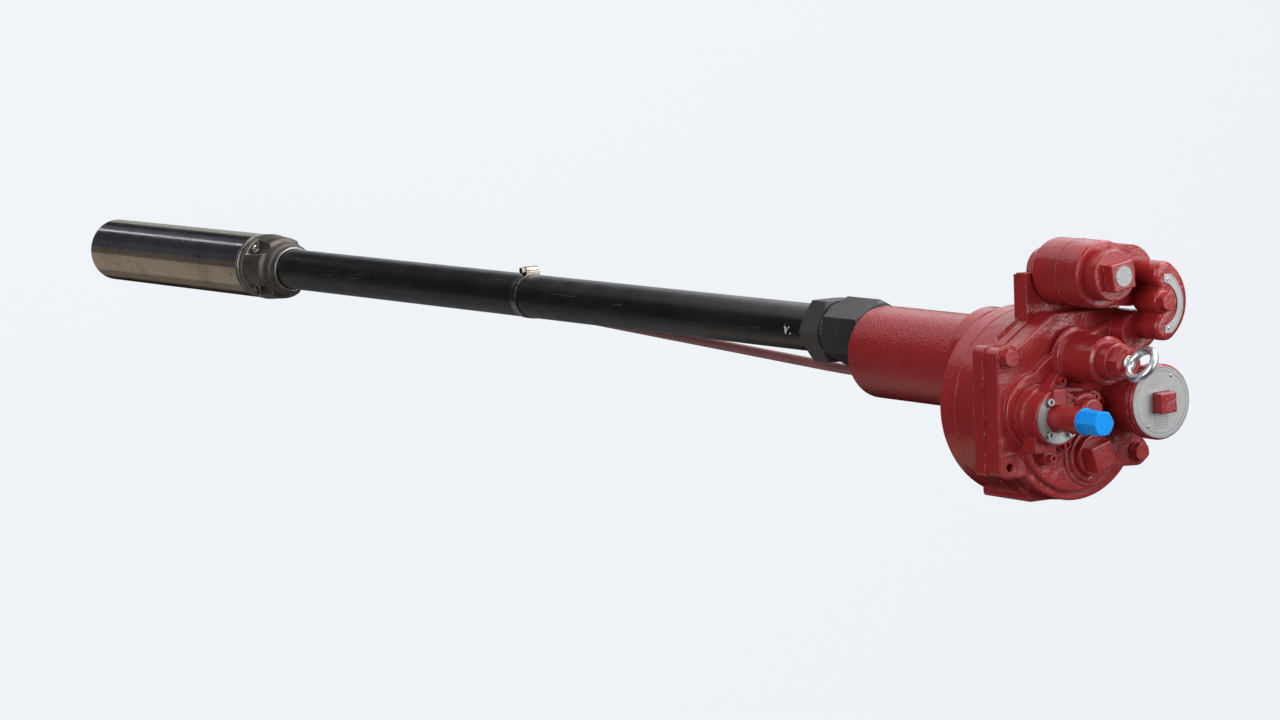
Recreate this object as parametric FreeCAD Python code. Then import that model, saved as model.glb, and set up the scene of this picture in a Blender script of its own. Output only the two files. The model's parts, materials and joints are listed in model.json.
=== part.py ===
import FreeCAD, Part
import math
import os
from FreeCAD import Vector

# Submersible turbine pump in its working position, standing upright.
# Millimetres. +Z points up along the pump, and the origin is the centre of the
# riser pipe's lower end. -Y is the side that the large square flange's row of
# bolts faces, and -X is the side with the junction box.

# Standard pipes
RISER_OD = 114.3
RISER_WALL = 6.0
RISER_SOCKET = 12.0       # depth that the riser enters the casting
RISER_THREAD_RADIUS = 56.0    # the riser's upper thread, as a plain cylinder
COLUMN_OD = 60.3
COLUMN_WALL = 3.9
INNER_PIPE_OD = 48.3
INNER_PIPE_WALL = 3.7
CONDUIT_OD = 21.3
CONDUIT_WALL = 2.0
RETURN_TUBE_OD = 12.7

# Clearances
SLIDE_GAP = 0.06          # radial, for pipes and screws that slide or turn in each other
FREE_GAP = 0.3            # between curved faces of bodies that only pass each other

# Axes that the pieces share, as (x, y)
RISER_AXIS = (0.0, 0.0)
COLUMN_AXIS = (-20.0, 0.0)
DRUM_AXIS = (38.2, 0.0)
BOWL_AXIS = (52.0, 0.0)
ELEMENT_AXIS = (43.0, -58.0)
SIDE_VALVE_AXIS = (38.0, -14.0)
PORT_PLUG_AXIS = (95.5, 14.5)
BARREL_AXIS = (35.2, 77.5)
BOX_AXIS = (-119.5, 0.0)
CHAMBER_AXIS = (-113.5, 54.0)
UPPER_SOCKET_AXIS = (-113.0, 73.0)
YOKE_CENTRE = (-84.0, 55.0)
YOKE_BOLT_AXIS = (-84.0, 71.0)
LOWER_SOCKET_AXIS = (-55.0, 74.0)

# Heights
DRUM_Z = 261.5
FLANGE_THICK = 19.0
PACKER_PLATE_THICK = 26.5
PACKER_Z = 345.5          # joint face between the manifold and the packer
PLATE_TOP = PACKER_Z + PACKER_PLATE_THICK
DRUM_RADIUS = 113.0
DRUM_EDGE_ROUND = 1.2
HUB_AXIS = (-8.5, -18.5)
HUB_RADIUS = 63.6
HUB_HEIGHT = 25.0
BOWL_RADIUS = 96.5

# Square flange, shared by the manifold and the packer
FLANGE_LEFT = -111.0
FLANGE_X0 = -38.0
FLANGE_X1 = 114.0
FLANGE_CORNER = 10.0
MANIFOLD_FLANGE_GROW = 1.5
BOLT_UPPER_LEFT = (-27.0, -96.5)
BOLT_LOWER_LEFT = (101.0, -96.5)
BOLT_LOWER_RIGHT = (100.0, 92.5)
BOLT_DIAMETER = 12.0
BOLT_HEAD_AF = 19.0
BOLT_HEAD_HEIGHT = 8.0
BOLT_LENGTH = 40.0
WASHER_OD = 26.0
WASHER_THICK = 2.0
LUG_RADIUS = 17.0
PLATEAU_HEIGHT = 7.0
PLATEAU_RADIUS = 86.0
ELEMENT_SEAT_RADIUS = 47.0
DISH_DEPTH = 4.0
CROSS_BORE_RADIUS = 9.5
CROSS_BORE_DROP = 10.0

# Discharge pad and port
PAD_FACE_X = 148.5
PAD_HALF_WIDTH = 52.0
PAD_Z0 = 261.0
PORT_RADIUS = 28.6
PORT_DEPTH = 32.0
PORT_Z = 303.0
PORT_FACE_RADIUS = 34.0   # spot face that lets a pipe reach the port

# Packer spigot
SPIGOT_LENGTH = 80.0
SPIGOT_CLEARANCE = 0.5
SEAL_SECTION = 5.0
SEAL_Z = (300.0, 325.0)

# Eye-bolt tower
TOWER_RADIUS = 28.5
TOWER_TOP = 441.0
TOWER_ROOT_ROUND = 8.0
TOWER_RIM_ROUND = 3.0
TOWER_COLLAR_RADIUS = 22.0
TOWER_COLLAR_HEIGHT = 17.0
TOWER_HEX_AF = 34.0
TOWER_HEX_HEIGHT = 15.0
TOWER_PLUG_DEPTH = 24.0
TOWER_PLUG_THREAD_RADIUS = 19.0
EYE_RING_RADIUS = 19.0
EYE_WIRE_RADIUS = 4.8
EYE_TURN_DEG = 143.0
EYE_SHANK_RADIUS = 6.0
EYE_SHANK_DEPTH = 22.0
EYE_COLLAR_RADIUS = 8.5
EYE_COLLAR_HEIGHT = 3.0

# Functional element
ELEMENT_FLANGE_THICK = 13.0
ELEMENT_BODY_RADIUS = 32.5
ELEMENT_BODY_HEIGHT = 23.0
ELEMENT_SCREWS = ((3.5, -35.5), (92.5, -52.0), (78.5, -31.5), (33.0, 19.0))
ELEMENT_SCREW_LUG = 9.0
ELEMENT_EARS = ((25.5, -33.0), (24.0, 1.0))
EAR_DROP = 6.0
SIDE_VALVE_RADIUS = 21.0
SIDE_VALVE_HEIGHT = 21.0
SIDE_VALVE_CAP_RADIUS = 15.5
SIDE_VALVE_CAP_HEIGHT = 12.0
STEM_RADIUS = 15.5
STEM_TOP = 464.0
STEM_BORE = 9.0
RING_PLATE_RADIUS = 30.0
RING_PLATE_THICK = 1.0
RING_PLATE_BORE = 17.5
RING_SCREW_CIRCLE = 24.0
BLUE_CAP_AF = 26.2
BLUE_CAP_HEIGHT = 35.0
BLUE_CAP_SKIRT = 3.0
RELIEF_SCREW_PITCH = 2.0
RELIEF_SEAT_Z = 385.0
RELIEF_SPRING_TOP = 26.0
RELIEF_SCREW_REACH = 34.0

# Port plug
PORT_RING_RADII = (38.0, 32.0)
PORT_RING_STEP = 4.0
PORT_PLUG_COLLAR = 25.0
PORT_PLUG_COLLAR_HEIGHT = 6.0
PORT_PLUG_SQUARE = 30.0
PORT_PLUG_SQUARE_HEIGHT = 15.0
PORT_PLUG_TURN = 17.0
PORT_PLUG_THREAD = 21.0
PORT_PLUG_THREAD_DEPTH = 14.0

# Check valve barrel and cover
BARREL_RADIUS = 40.0
BARREL_BORE = 33.0
BARREL_TOP = 415.5
COVER_RADIUS = 44.5
COVER_THICK = 18.0
COVER_SEAL_THICK = 2.0
COVER_THREAD_DEPTH = 16.0
COVER_GROOVE = 2.0
COVER_SQUARE = 24.0
COVER_SQUARE_HEIGHT = 15.0
COVER_PLATE_RADIUS = 42.0
PLATE_THICK = 1.0
VALVE_SEAT_Z = 352.0
VALVE_DISC_RADIUS = 26.0
VALVE_DISC_THICK = 5.0
VALVE_STEM_RADIUS = 5.0
VALVE_RIM = 4.1

# Junction box and its plug
BOX_RADIUS = 39.5
BOX_Z0 = 342.0
BOX_TOP = 432.0
BOX_SHOULDER_ROUND = 10.0
BOX_RIM_ROUND = 3.0
BOX_BORE = 26.0
BOX_FLOOR = 6.0
BOX_PLUG_COLLAR = 30.0
BOX_PLUG_COLLAR_HEIGHT = 20.0
BOX_PLUG_SQUARE = 32.0
BOX_PLUG_SQUARE_HEIGHT = 15.0
BOX_PLUG_TURN = 9.0
BOX_PLUG_THREAD_DEPTH = 14.0
BOX_LABEL_RADIUS = 12.0
CHAMBER_RADIUS = 36.0
HUB_RIB_RADIUS = 27.0
HUB_RIB_DEPTH = 1.2
CONDUIT_HUB_HEIGHT = 20.0
CONDUIT_HOLE_RADIUS = 10.6
RIB_X = -117.5
RIB_Y = (-46.0, -37.0)
RIB_DEPTH = 20.0
SHELF_THICK = 18.0

# Electrical yoke
YOKE_Z0 = 412.0
YOKE_THICK = 40.0
YOKE_RADIUS = 52.5
YOKE_EDGE_ROUND = 4.0
YOKE_LOBE_RADIUS = 16.0
YOKE_PLATE_CENTRE = (-81.0, 57.3)
YOKE_PLATE_RADIUS = 42.4
YOKE_PLATE_HALF = 34.5
YOKE_PLATE_BORE = 27.0
YOKE_BOLT_AF = 19.0
YOKE_BOLT_HEAD = 10.0
YOKE_BOLT_BOSS = 15.0
YOKE_BOLT_RADIUS = 5.0
YOKE_POST_RADIUS = 8.0
YOKE_BOLT_DEPTH = 24.0
YOKE_GASKET_GAP = 0.5
SOCKET_RADIUS = 11.0
SOCKET_DEPTH = 26.0
CONNECTOR_RADIUS = 9.5
LOWER_BOSS = ((-49.0, 71.0, 22.5), (-46.0, 64.0, 22.0))
BRIDGE = ((-30.0, 10.0, 18.0), (-44.0, 62.0, 20.0))
BRIDGE_TOP = 388.0

# Lock fitting on the column
LOCK_BODY_AF = 77.0
LOCK_BODY_Z = (-79.0, -5.0)
LOCK_NECK_RADIUS = 35.0
LOCK_NUT_AF = 77.0
LOCK_NUT_Z = (-125.0, -89.0)
LOCK_THREAD_RADIUS = 36.0
NUT_CHAMFER_HEIGHT = 3.5
NUT_CHAMFER_RADIUS = 40.0
FERRULE_HEIGHT = 12.0
LOCK_SET_SCREW_RADIUS = 1.6

# Column, return tube and clamp
COLUMN_TOP = -22.0
INNER_PIPE_FOOT = -400.0
CONDUIT_JOIN_TOP = -150.0
CONDUIT_JOIN_FOOT = -520.0
CONDUIT_FOOT = -1630.0
TUBE_AT_CLAMP = (6.1, 26.1)
TUBE_AT_LOCK = (33.0, 22.0)
TUBE_FOOT_Z = -1010.0
TUBE_BEND_Z = (-780.0, -100.0)
TUBE_BEND_RADIUS = 3000.0
CLAMP_Z = -833.0
CLAMP_WIDTH = 14.5
CLAMP_BAND = 0.8
CLAMP_HOUSING_Y = 1.0

# Pump unit
HEAD_FOOT = -1617.3
HEAD_TOP = -1519.0
SHELL_OD = 97.4
SHELL_WALL = 2.0
SHELL_FOOT = -2115.9
HEAD_SCREW_CIRCLE = 41.0
HEAD_SCREW_Z = -1590.0
HEAD_POCKET_RADIUS = 9.5
STATOR_Z = (-1815.0, -1660.0)
STATOR_BORE = 24.5
ROTOR_AIR_GAP = 0.6
SHAFT_RADIUS = 7.0
SHAFT_Z = (-2092.0, -1636.0)
STAGE_Z = (-2030.0, -1965.0, -1900.0)
STAGE_HEIGHT = 60.0
IMPELLER_RADIUS = 38.0
IMPELLER_HEIGHT = 22.0
VANE_COUNT = 6
BEARING_RADIUS = 18.0
BEARING_HEIGHT = 14.0


def at(axis, z):
    """Point over an (x, y) axis at height z."""
    return Vector(axis[0], axis[1], z)


def cylinder(radius, z0, z1, axis):
    return Part.makeCylinder(radius, z1 - z0, at(axis, z0))


def tube(outer, inner, z0, z1, axis):
    return cylinder(outer, z0, z1, axis).cut(cylinder(inner, z0 - 1, z1 + 1, axis))


def block(x, y, z):
    """Box between the pairs of coordinates x, y and z."""
    return Part.makeBox(x[1] - x[0], y[1] - y[0], z[1] - z[0], Vector(x[0], y[0], z[0]))


def prism(points, z0, z1):
    """Polygon of (x, y) points, raised from z0 to z1."""
    corners = [Vector(x, y, z0) for x, y in points]
    face = Part.Face(Part.makePolygon(corners + corners[:1]))
    return face.extrude(Vector(0, 0, z1 - z0))


def polygon_bar(sides, across_flats, z0, z1, axis, turn=0.0):
    """Regular bar stock; turn is the angle of its first corner from +X in degrees."""
    radius = across_flats / 2 / math.cos(math.pi / sides)
    points = []
    for i in range(sides):
        angle = math.radians(turn + 360.0 * i / sides)
        points.append((axis[0] + radius * math.cos(angle), axis[1] + radius * math.sin(angle)))
    return prism(points, z0, z1)


def turned(profile, axis):
    """Solid of revolution of (radius, height) points about a vertical axis."""
    points = [Vector(axis[0] + r, axis[1], z) for r, z in profile]
    face = Part.Face(Part.makePolygon(points + points[:1]))
    return face.revolve(at(axis, 0), Vector(0, 0, 1), 360)


def hull_of_two(first, second, z0, z1):
    """Two round posts (x, y, radius) and the tangent walls that join them."""
    x1, y1, r1 = first
    x2, y2, r2 = second
    distance = math.hypot(x2 - x1, y2 - y1)
    heading = math.atan2(y2 - y1, x2 - x1)
    spread = math.acos((r1 - r2) / distance)
    points = []
    for x, y, r, side in ((x1, y1, r1, 1), (x1, y1, r1, -1), (x2, y2, r2, -1), (x2, y2, r2, 1)):
        angle = heading + side * spread
        points.append((x + r * math.cos(angle), y + r * math.sin(angle)))
    wall = prism(points, z0, z1)
    return wall.fuse([cylinder(r1, z0, z1, (x1, y1)), cylinder(r2, z0, z1, (x2, y2))])


def joined(pieces):
    solid = pieces[0].fuse(pieces[1:])
    return solid.removeSplitter()


def top_edges(shape, z, tolerance=0.01):
    """Edges that lie wholly in the plane at height z."""
    return [e for e in shape.Edges
            if abs(e.BoundBox.ZMin - z) < tolerance and abs(e.BoundBox.ZMax - z) < tolerance]


def rounded_at(shape, z, radius):
    return shape.makeFillet(radius, top_edges(shape, z))


def chamfered_bar(bar, axis, z0, z1, radius, height, ends):
    """Bar stock with its corners turned off in a cone at the given ends."""
    reach = radius + 3 * height
    profile = [(0, z0), (radius, z0), (radius + 1.7 * height, z0 + height)]
    if "foot" not in ends:
        profile = [(0, z0), (reach, z0)]
    profile.append((reach, (z0 + z1) / 2))
    if "top" in ends:
        profile += [(radius + 1.7 * height, z1 - height), (radius, z1), (0, z1)]
    else:
        profile += [(reach, z1), (0, z1)]
    return bar.common(turned(profile, axis))


def socket_screw(axis, z, head_radius, head_height, shank_radius, shank_length):
    """Socket-head cap screw standing on height z."""
    head = cylinder(head_radius, z, z + head_height, axis)
    head = head.cut(polygon_bar(6, head_radius, z + head_height * 0.4, z + head_height + 1, axis))
    return head.fuse(cylinder(shank_radius, z - shank_length, z + 0.01, axis)).removeSplitter()


def flange_plate(z0, z1, grow):
    """Outline shared by the manifold flange and the packer plate."""
    corner = FLANGE_CORNER
    left = block((FLANGE_X0 - grow, FLANGE_X1 + grow), (FLANGE_LEFT - grow, 0), (z0, z1))
    upright = [e for e in left.Edges if e.BoundBox.ZLength > 1 and e.BoundBox.YMax < -1]
    left = left.makeFillet(corner, upright)
    bowl = cylinder(BOWL_RADIUS + grow, z0, z1, BOWL_AXIS)
    upper = hull_of_two((-60.0, -24.0, 13.0 + grow), (-50.0, 66.0, 22.5 + grow), z0, z1)
    slope = hull_of_two((-60.0, -24.0, 13.0 + grow), (-22.0, -80.0, 14.0 + grow), z0, z1)
    middle = prism(((-60, -24), (-22, -80), (60, -60), (60, 60), (-50, 66)), z0, z1)
    side = hull_of_two((-50.0, 66.0, 22.5 + grow), (40.0, 78.0, 32.0 + grow), z0, z1)
    right = (BOLT_LOWER_RIGHT[0], BOLT_LOWER_RIGHT[1], LUG_RADIUS + grow)
    lug = hull_of_two((BOWL_AXIS[0], BOWL_AXIS[1], 60.0), right, z0, z1)
    return joined([left, bowl, upper, slope, middle, side, lug])


def conduit_seat():
    """Room for the ribbed hub and the box above it, taken out of what stands beside them."""
    return cylinder(HUB_RIB_RADIUS + 1, DRUM_Z, BOX_Z0, BOX_AXIS)


def manifold_casting():
    """Drum, square flange, discharge pad and the shelf that carries the junction box."""
    drum = cylinder(DRUM_RADIUS, DRUM_Z, PACKER_Z - FLANGE_THICK, DRUM_AXIS)
    drum = rounded_at(drum, DRUM_Z, DRUM_EDGE_ROUND)
    flange = flange_plate(PACKER_Z - FLANGE_THICK - 0.01, PACKER_Z, MANIFOLD_FLANGE_GROW)
    pad = block((60, PAD_FACE_X), (-PAD_HALF_WIDTH, PAD_HALF_WIDTH), (PAD_Z0, PACKER_Z))
    pad = pad.makeFillet(5, [e for e in pad.Edges if e.BoundBox.XMin > 60.1 and e.BoundBox.XLength < 1
                             and e.BoundBox.YLength < 1])
    shelf = prism(((-60, RIB_Y[0]), (BOX_AXIS[0], RIB_Y[0]), (BOX_AXIS[0], 90), (-60, 92)),
                  PACKER_Z - SHELF_THICK, PACKER_Z)
    post = cylinder(CHAMBER_RADIUS - 2, PACKER_Z - SHELF_THICK, PACKER_Z, CHAMBER_AXIS)
    rib = block((RIB_X, 0), RIB_Y, (BOX_Z0 - RIB_DEPTH, BOX_Z0 + 1))
    shelf = joined([shelf, post]).cut([conduit_seat(), cylinder(BOX_RADIUS, BOX_Z0, BOX_TOP, BOX_AXIS)])
    rib = rib.cut(cylinder(BOX_RADIUS, BOX_Z0, BOX_TOP, BOX_AXIS))
    body = joined([drum, flange, pad, shelf, rib])
    along = Vector(1, 0, 0)
    bores = [
        cylinder(RISER_THREAD_RADIUS, DRUM_Z - 1, DRUM_Z + RISER_SOCKET, RISER_AXIS),
        cylinder(RISER_OD / 2 - RISER_WALL, DRUM_Z, PACKER_Z + 1, RISER_AXIS),
        Part.makeCylinder(PORT_RADIUS, PORT_DEPTH + 1, Vector(PAD_FACE_X - PORT_DEPTH, 0, PORT_Z), along),
        Part.makeCylinder(PORT_FACE_RADIUS, 20, Vector(PAD_FACE_X, 0, PORT_Z), along),
        Part.makeCylinder(PORT_RADIUS - 4, 80, Vector(PAD_FACE_X - PORT_DEPTH - 79, 0, PORT_Z), along),
        cylinder(YOKE_BOLT_RADIUS + SLIDE_GAP, YOKE_Z0 - YOKE_BOLT_DEPTH, YOKE_Z0 + 1, YOKE_BOLT_AXIS),
    ]
    for axis in (BOLT_UPPER_LEFT, BOLT_LOWER_RIGHT):
        bores.append(cylinder(BOLT_DIAMETER / 2, PACKER_Z - 16, PACKER_Z + 1, axis))
    return body.cut(bores)


def riser_hub():
    """Crescent of the casting round the riser's upper end, off the riser's axis."""
    hub = cylinder(HUB_RADIUS, DRUM_Z - HUB_HEIGHT, DRUM_Z, HUB_AXIS)
    return hub.cut(cylinder(RISER_THREAD_RADIUS, DRUM_Z - HUB_HEIGHT - 1, DRUM_Z + 1, RISER_AXIS))


def box_form():
    """Outer form of the junction box, solid."""
    box = cylinder(BOX_RADIUS, BOX_Z0, BOX_TOP, BOX_AXIS)
    box = rounded_at(box, BOX_Z0, BOX_SHOULDER_ROUND)
    return rounded_at(box, BOX_TOP, BOX_RIM_ROUND)


def junction_box():
    return box_form().cut([cylinder(BOX_BORE, BOX_Z0 + BOX_FLOOR, BOX_TOP + 1, BOX_AXIS),
                           cylinder(CONDUIT_HOLE_RADIUS, BOX_Z0 - 1, BOX_Z0 + BOX_FLOOR + 1, BOX_AXIS)])


def connector_chamber():
    """Chamber beside the junction box with the upper socket, and the post for the yoke's bolt."""
    foot = BOX_Z0 + BOX_SHOULDER_ROUND
    top = YOKE_Z0 - YOKE_GASKET_GAP
    chamber = hull_of_two((BOX_AXIS[0], BOX_AXIS[1], CHAMBER_RADIUS - 0.5),
                          (CHAMBER_AXIS[0], CHAMBER_AXIS[1], CHAMBER_RADIUS), foot, top)
    post = cylinder(CHAMBER_RADIUS - 2, PACKER_Z, BOX_Z0 + 20, CHAMBER_AXIS)
    bolt_post = cylinder(YOKE_POST_RADIUS, PACKER_Z, top, YOKE_BOLT_AXIS)
    body = joined([chamber, post, bolt_post])
    return body.cut([
        box_form(), conduit_seat(), cylinder(BOX_RADIUS, BOX_Z0, foot, BOX_AXIS),
        cylinder(SOCKET_RADIUS, YOKE_Z0 - SOCKET_DEPTH, YOKE_Z0 + 1, UPPER_SOCKET_AXIS),
        cylinder(YOKE_BOLT_RADIUS + SLIDE_GAP, YOKE_Z0 - YOKE_BOLT_DEPTH, YOKE_Z0 + 1, YOKE_BOLT_AXIS),
    ])


def conduit_hub():
    """Ribbed hub under the junction box, with the electrical conduit's hole."""
    ribs = 5
    pitch = CONDUIT_HUB_HEIGHT / ribs
    foot = BOX_Z0 - CONDUIT_HUB_HEIGHT
    profile = [(CONDUIT_HOLE_RADIUS, BOX_Z0), (CONDUIT_HOLE_RADIUS, foot)]
    for i in range(ribs):
        profile.append((HUB_RIB_RADIUS, foot + i * pitch))
        profile.append((HUB_RIB_RADIUS, foot + (i + 0.55) * pitch))
        profile.append((HUB_RIB_RADIUS - HUB_RIB_DEPTH, foot + (i + 0.8) * pitch))
    profile.append((HUB_RIB_RADIUS - HUB_RIB_DEPTH, BOX_Z0))
    return turned(profile, BOX_AXIS)


def tower_form(grow):
    """Solid of the eye-bolt tower with its rounded root, grown sideways where it is cut out."""
    root = PLATE_TOP + PLATEAU_HEIGHT
    wall = TOWER_RADIUS + grow
    return turned([(0, PLATE_TOP), (wall + TOWER_ROOT_ROUND, root - 1), (wall + TOWER_ROOT_ROUND, root),
                   (wall + 2.3, root + 2.3), (wall, root + TOWER_ROOT_ROUND), (wall, TOWER_TOP - TOWER_RIM_ROUND),
                   (wall - TOWER_RIM_ROUND, TOWER_TOP), (0, TOWER_TOP)], COLUMN_AXIS)


def valve_barrel():
    """Barrel of the check valve, standing on the packer."""
    return tube(BARREL_RADIUS, BARREL_BORE, PLATE_TOP, BARREL_TOP, BARREL_AXIS)


def packer_casting():
    plate = flange_plate(PACKER_Z, PLATE_TOP, 0.0)
    plate = rounded_at(plate, PLATE_TOP, 2.5)
    step = PLATE_TOP + PLATEAU_HEIGHT
    seat = cylinder(ELEMENT_SEAT_RADIUS, PLATE_TOP - 1, step, (ELEMENT_AXIS[0] - 4, ELEMENT_AXIS[1] + 1))
    round_top = cylinder(PLATEAU_RADIUS, PLATE_TOP - 1, step, BOWL_AXIS)
    plateau = rounded_at(joined([seat, round_top]), step, 3.0)
    tower = tower_form(0.0)
    socket = hull_of_two(LOWER_BOSS[0], LOWER_BOSS[1], PLATE_TOP - 1, YOKE_Z0 - YOKE_GASKET_GAP)
    bridge = rounded_at(hull_of_two(BRIDGE[0], BRIDGE[1], PLATE_TOP - 1, BRIDGE_TOP), BRIDGE_TOP, 6.0)
    rings = []
    for i, radius in enumerate(PORT_RING_RADII):
        top = step + (i + 1) * PORT_RING_STEP - 2
        rings.append(rounded_at(cylinder(radius, PLATE_TOP, top, PORT_PLUG_AXIS), top, 1.8))
    spigot = cylinder(RISER_OD / 2 - RISER_WALL - SPIGOT_CLEARANCE, PACKER_Z - SPIGOT_LENGTH,
                      PACKER_Z + 1, RISER_AXIS)
    body = joined([plate, plateau, tower, socket, bridge] + rings + [spigot])
    seal_outer = RISER_OD / 2
    seal_inner = RISER_OD / 2 - RISER_WALL - SEAL_SECTION + 0.5
    step_top = step + 1
    cross = Vector(BARREL_AXIS[0] - COLUMN_AXIS[0], BARREL_AXIS[1] - COLUMN_AXIS[1], 0)
    port_floor = step + 2 * PORT_RING_STEP - 2 - PORT_PLUG_THREAD_DEPTH - 2
    cuts = [
        cylinder(INNER_PIPE_OD / 2, PACKER_Z - SPIGOT_LENGTH - 1, PACKER_Z - SPIGOT_LENGTH + 30, COLUMN_AXIS),
        cylinder(INNER_PIPE_OD / 2 - INNER_PIPE_WALL, PACKER_Z - SPIGOT_LENGTH, PLATE_TOP + 18, COLUMN_AXIS),
        cylinder(TOWER_PLUG_THREAD_RADIUS, TOWER_TOP - TOWER_PLUG_DEPTH, TOWER_TOP + 1, COLUMN_AXIS),
        Part.makeCylinder(CROSS_BORE_RADIUS, cross.Length, at(COLUMN_AXIS, PLATE_TOP - CROSS_BORE_DROP), cross),
        cylinder(BARREL_RADIUS, PLATE_TOP, BARREL_TOP, BARREL_AXIS),
        cylinder(BARREL_BORE, VALVE_SEAT_Z + 8, PLATE_TOP + 1, BARREL_AXIS),
        turned([(0, VALVE_SEAT_Z - 1), (18, VALVE_SEAT_Z - 1), (BARREL_BORE, VALVE_SEAT_Z + 8.01),
                (0, VALVE_SEAT_Z + 8.01)], BARREL_AXIS),
        cylinder(18, PACKER_Z - 1, VALVE_SEAT_Z, BARREL_AXIS),
        cylinder(PORT_PLUG_THREAD + FREE_GAP, port_floor, step + 20, PORT_PLUG_AXIS),
        cylinder(ELEMENT_SEAT_RADIUS - 9, step - DISH_DEPTH, step_top, ELEMENT_AXIS),
        cylinder(SOCKET_RADIUS, YOKE_Z0 - SOCKET_DEPTH, YOKE_Z0 + 1, LOWER_SOCKET_AXIS),
        cylinder(RETURN_TUBE_OD / 2, PACKER_Z - SPIGOT_LENGTH - 1, PACKER_Z - SPIGOT_LENGTH + 40, TUBE_AT_LOCK),
        cylinder(CONDUIT_OD / 2, PACKER_Z - SPIGOT_LENGTH, TOWER_TOP - TOWER_PLUG_DEPTH - 6, COLUMN_AXIS),
        cylinder(BOLT_DIAMETER / 2 - 0.8, PLATE_TOP - 18, PLATE_TOP + 1, BOLT_LOWER_LEFT),
    ]
    for z in SEAL_Z:
        cuts.append(tube(seal_outer, seal_inner, z, z + SEAL_SECTION, RISER_AXIS))
    for axis in (BOLT_UPPER_LEFT, BOLT_LOWER_RIGHT):
        cuts.append(cylinder(BOLT_DIAMETER / 2 + 0.5, PACKER_Z - 1, PLATE_TOP + 1, axis))
        cuts.append(cylinder(WASHER_OD / 2 + 1.5, PLATE_TOP, PLATE_TOP + 30, axis))
    return body.cut(cuts)


def packer_bolts():
    """Hexagon bolts and washers that hold the packer on the manifold."""
    bolts = []
    for axis in (BOLT_UPPER_LEFT, BOLT_LOWER_RIGHT):
        seat = PLATE_TOP + WASHER_THICK
        head = polygon_bar(6, BOLT_HEAD_AF, seat, seat + BOLT_HEAD_HEIGHT, axis, 10)
        head = chamfered_bar(head, axis, seat, seat + BOLT_HEAD_HEIGHT, BOLT_HEAD_AF / 2, 1.2, ("top",))
        shank = cylinder(BOLT_DIAMETER / 2, seat - BOLT_LENGTH, seat + 0.5, axis)
        washer = cylinder(WASHER_OD / 2, PLATE_TOP, seat + 0.01, axis)
        bolts.append(joined([head, shank, washer]))
    return Part.makeCompound(bolts)


def packer_seals():
    """Two rings round the packer's spigot, each filling its groove to the manifold's bore."""
    outer = RISER_OD / 2 - RISER_WALL
    inner = outer - SEAL_SECTION + 0.5
    return Part.makeCompound([tube(outer, inner, z, z + SEAL_SECTION, RISER_AXIS) for z in SEAL_Z])


def element_base():
    return PLATE_TOP + PLATEAU_HEIGHT


def element_top():
    return element_base() + ELEMENT_FLANGE_THICK + ELEMENT_BODY_HEIGHT


def element_body():
    base = element_base()
    shelf = base + ELEMENT_FLANGE_THICK
    top = element_top()
    centre = (ELEMENT_AXIS[0], ELEMENT_AXIS[1], ELEMENT_BODY_RADIUS + 2.5)
    side = (SIDE_VALVE_AXIS[0], SIDE_VALVE_AXIS[1], SIDE_VALVE_RADIUS + 4)
    pieces = [hull_of_two(centre, side, base, shelf)]
    for x, y in ELEMENT_SCREWS:
        near = centre if math.hypot(x - centre[0], y - centre[1]) < 55 else side
        pieces.append(hull_of_two((near[0], near[1], 15.0), (x, y, ELEMENT_SCREW_LUG), base, shelf))
    flange = rounded_at(joined(pieces), shelf, 2.0)
    core = rounded_at(cylinder(ELEMENT_BODY_RADIUS, base, top, ELEMENT_AXIS), top, 1.5)
    plug = cylinder(ELEMENT_SEAT_RADIUS - 9.5, base - DISH_DEPTH, base + 1, ELEMENT_AXIS)
    stem = rounded_at(cylinder(STEM_RADIUS, top - 1, STEM_TOP, ELEMENT_AXIS), STEM_TOP, 1.0)
    valve_top = shelf + SIDE_VALVE_HEIGHT
    valve = rounded_at(cylinder(SIDE_VALVE_RADIUS, base, valve_top, SIDE_VALVE_AXIS), valve_top, 3.0)
    cap_top = valve_top + SIDE_VALVE_CAP_HEIGHT
    cap = rounded_at(cylinder(SIDE_VALVE_CAP_RADIUS, valve_top - 1, cap_top, SIDE_VALVE_AXIS), cap_top, 4.0)
    bridge = hull_of_two((ELEMENT_AXIS[0] - 3, ELEMENT_AXIS[1] + 12, 16.0),
                         (SIDE_VALVE_AXIS[0], SIDE_VALVE_AXIS[1], 14.0), base, top - 2.5)
    lug = block((9, 27), (-67, -50), (shelf - 1, top + 5))
    lug = lug.makeFillet(2, [e for e in lug.Edges if e.BoundBox.XMax < 9.1 and e.BoundBox.YLength > 1])
    pad = block((66, 84), (-83, -56), (base + 1, base + 24))
    pad = pad.makeFillet(2, [e for e in pad.Edges if e.BoundBox.XMin > 83.9])
    ears = [cylinder(7.0, base + 1, valve_top - EAR_DROP, place) for place in ELEMENT_EARS]
    body = joined([flange, core, plug, stem, valve, cap, bridge, lug, pad] + ears)
    floor = RELIEF_SEAT_Z
    cuts = [
        cylinder(STEM_BORE, floor + 3, STEM_TOP + 1, ELEMENT_AXIS),
        cylinder(4.0, base - DISH_DEPTH - 1, floor + 4, ELEMENT_AXIS),
        turned([(0, floor - 0.01), (5, floor - 0.01), (STEM_BORE, floor + 3.01), (0, floor + 3.01)],
               ELEMENT_AXIS),
        tower_form(FREE_GAP),
    ]
    for place in ELEMENT_SCREWS:
        cuts.append(cylinder(3.0, base - 1, shelf + 1, place))
        cuts.append(cylinder(5.8, shelf, shelf + 20, place))
    for place in ELEMENT_EARS:
        cuts.append(cylinder(5.8, valve_top - EAR_DROP, valve_top + 20, place))
    return body.cut(cuts)


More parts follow.
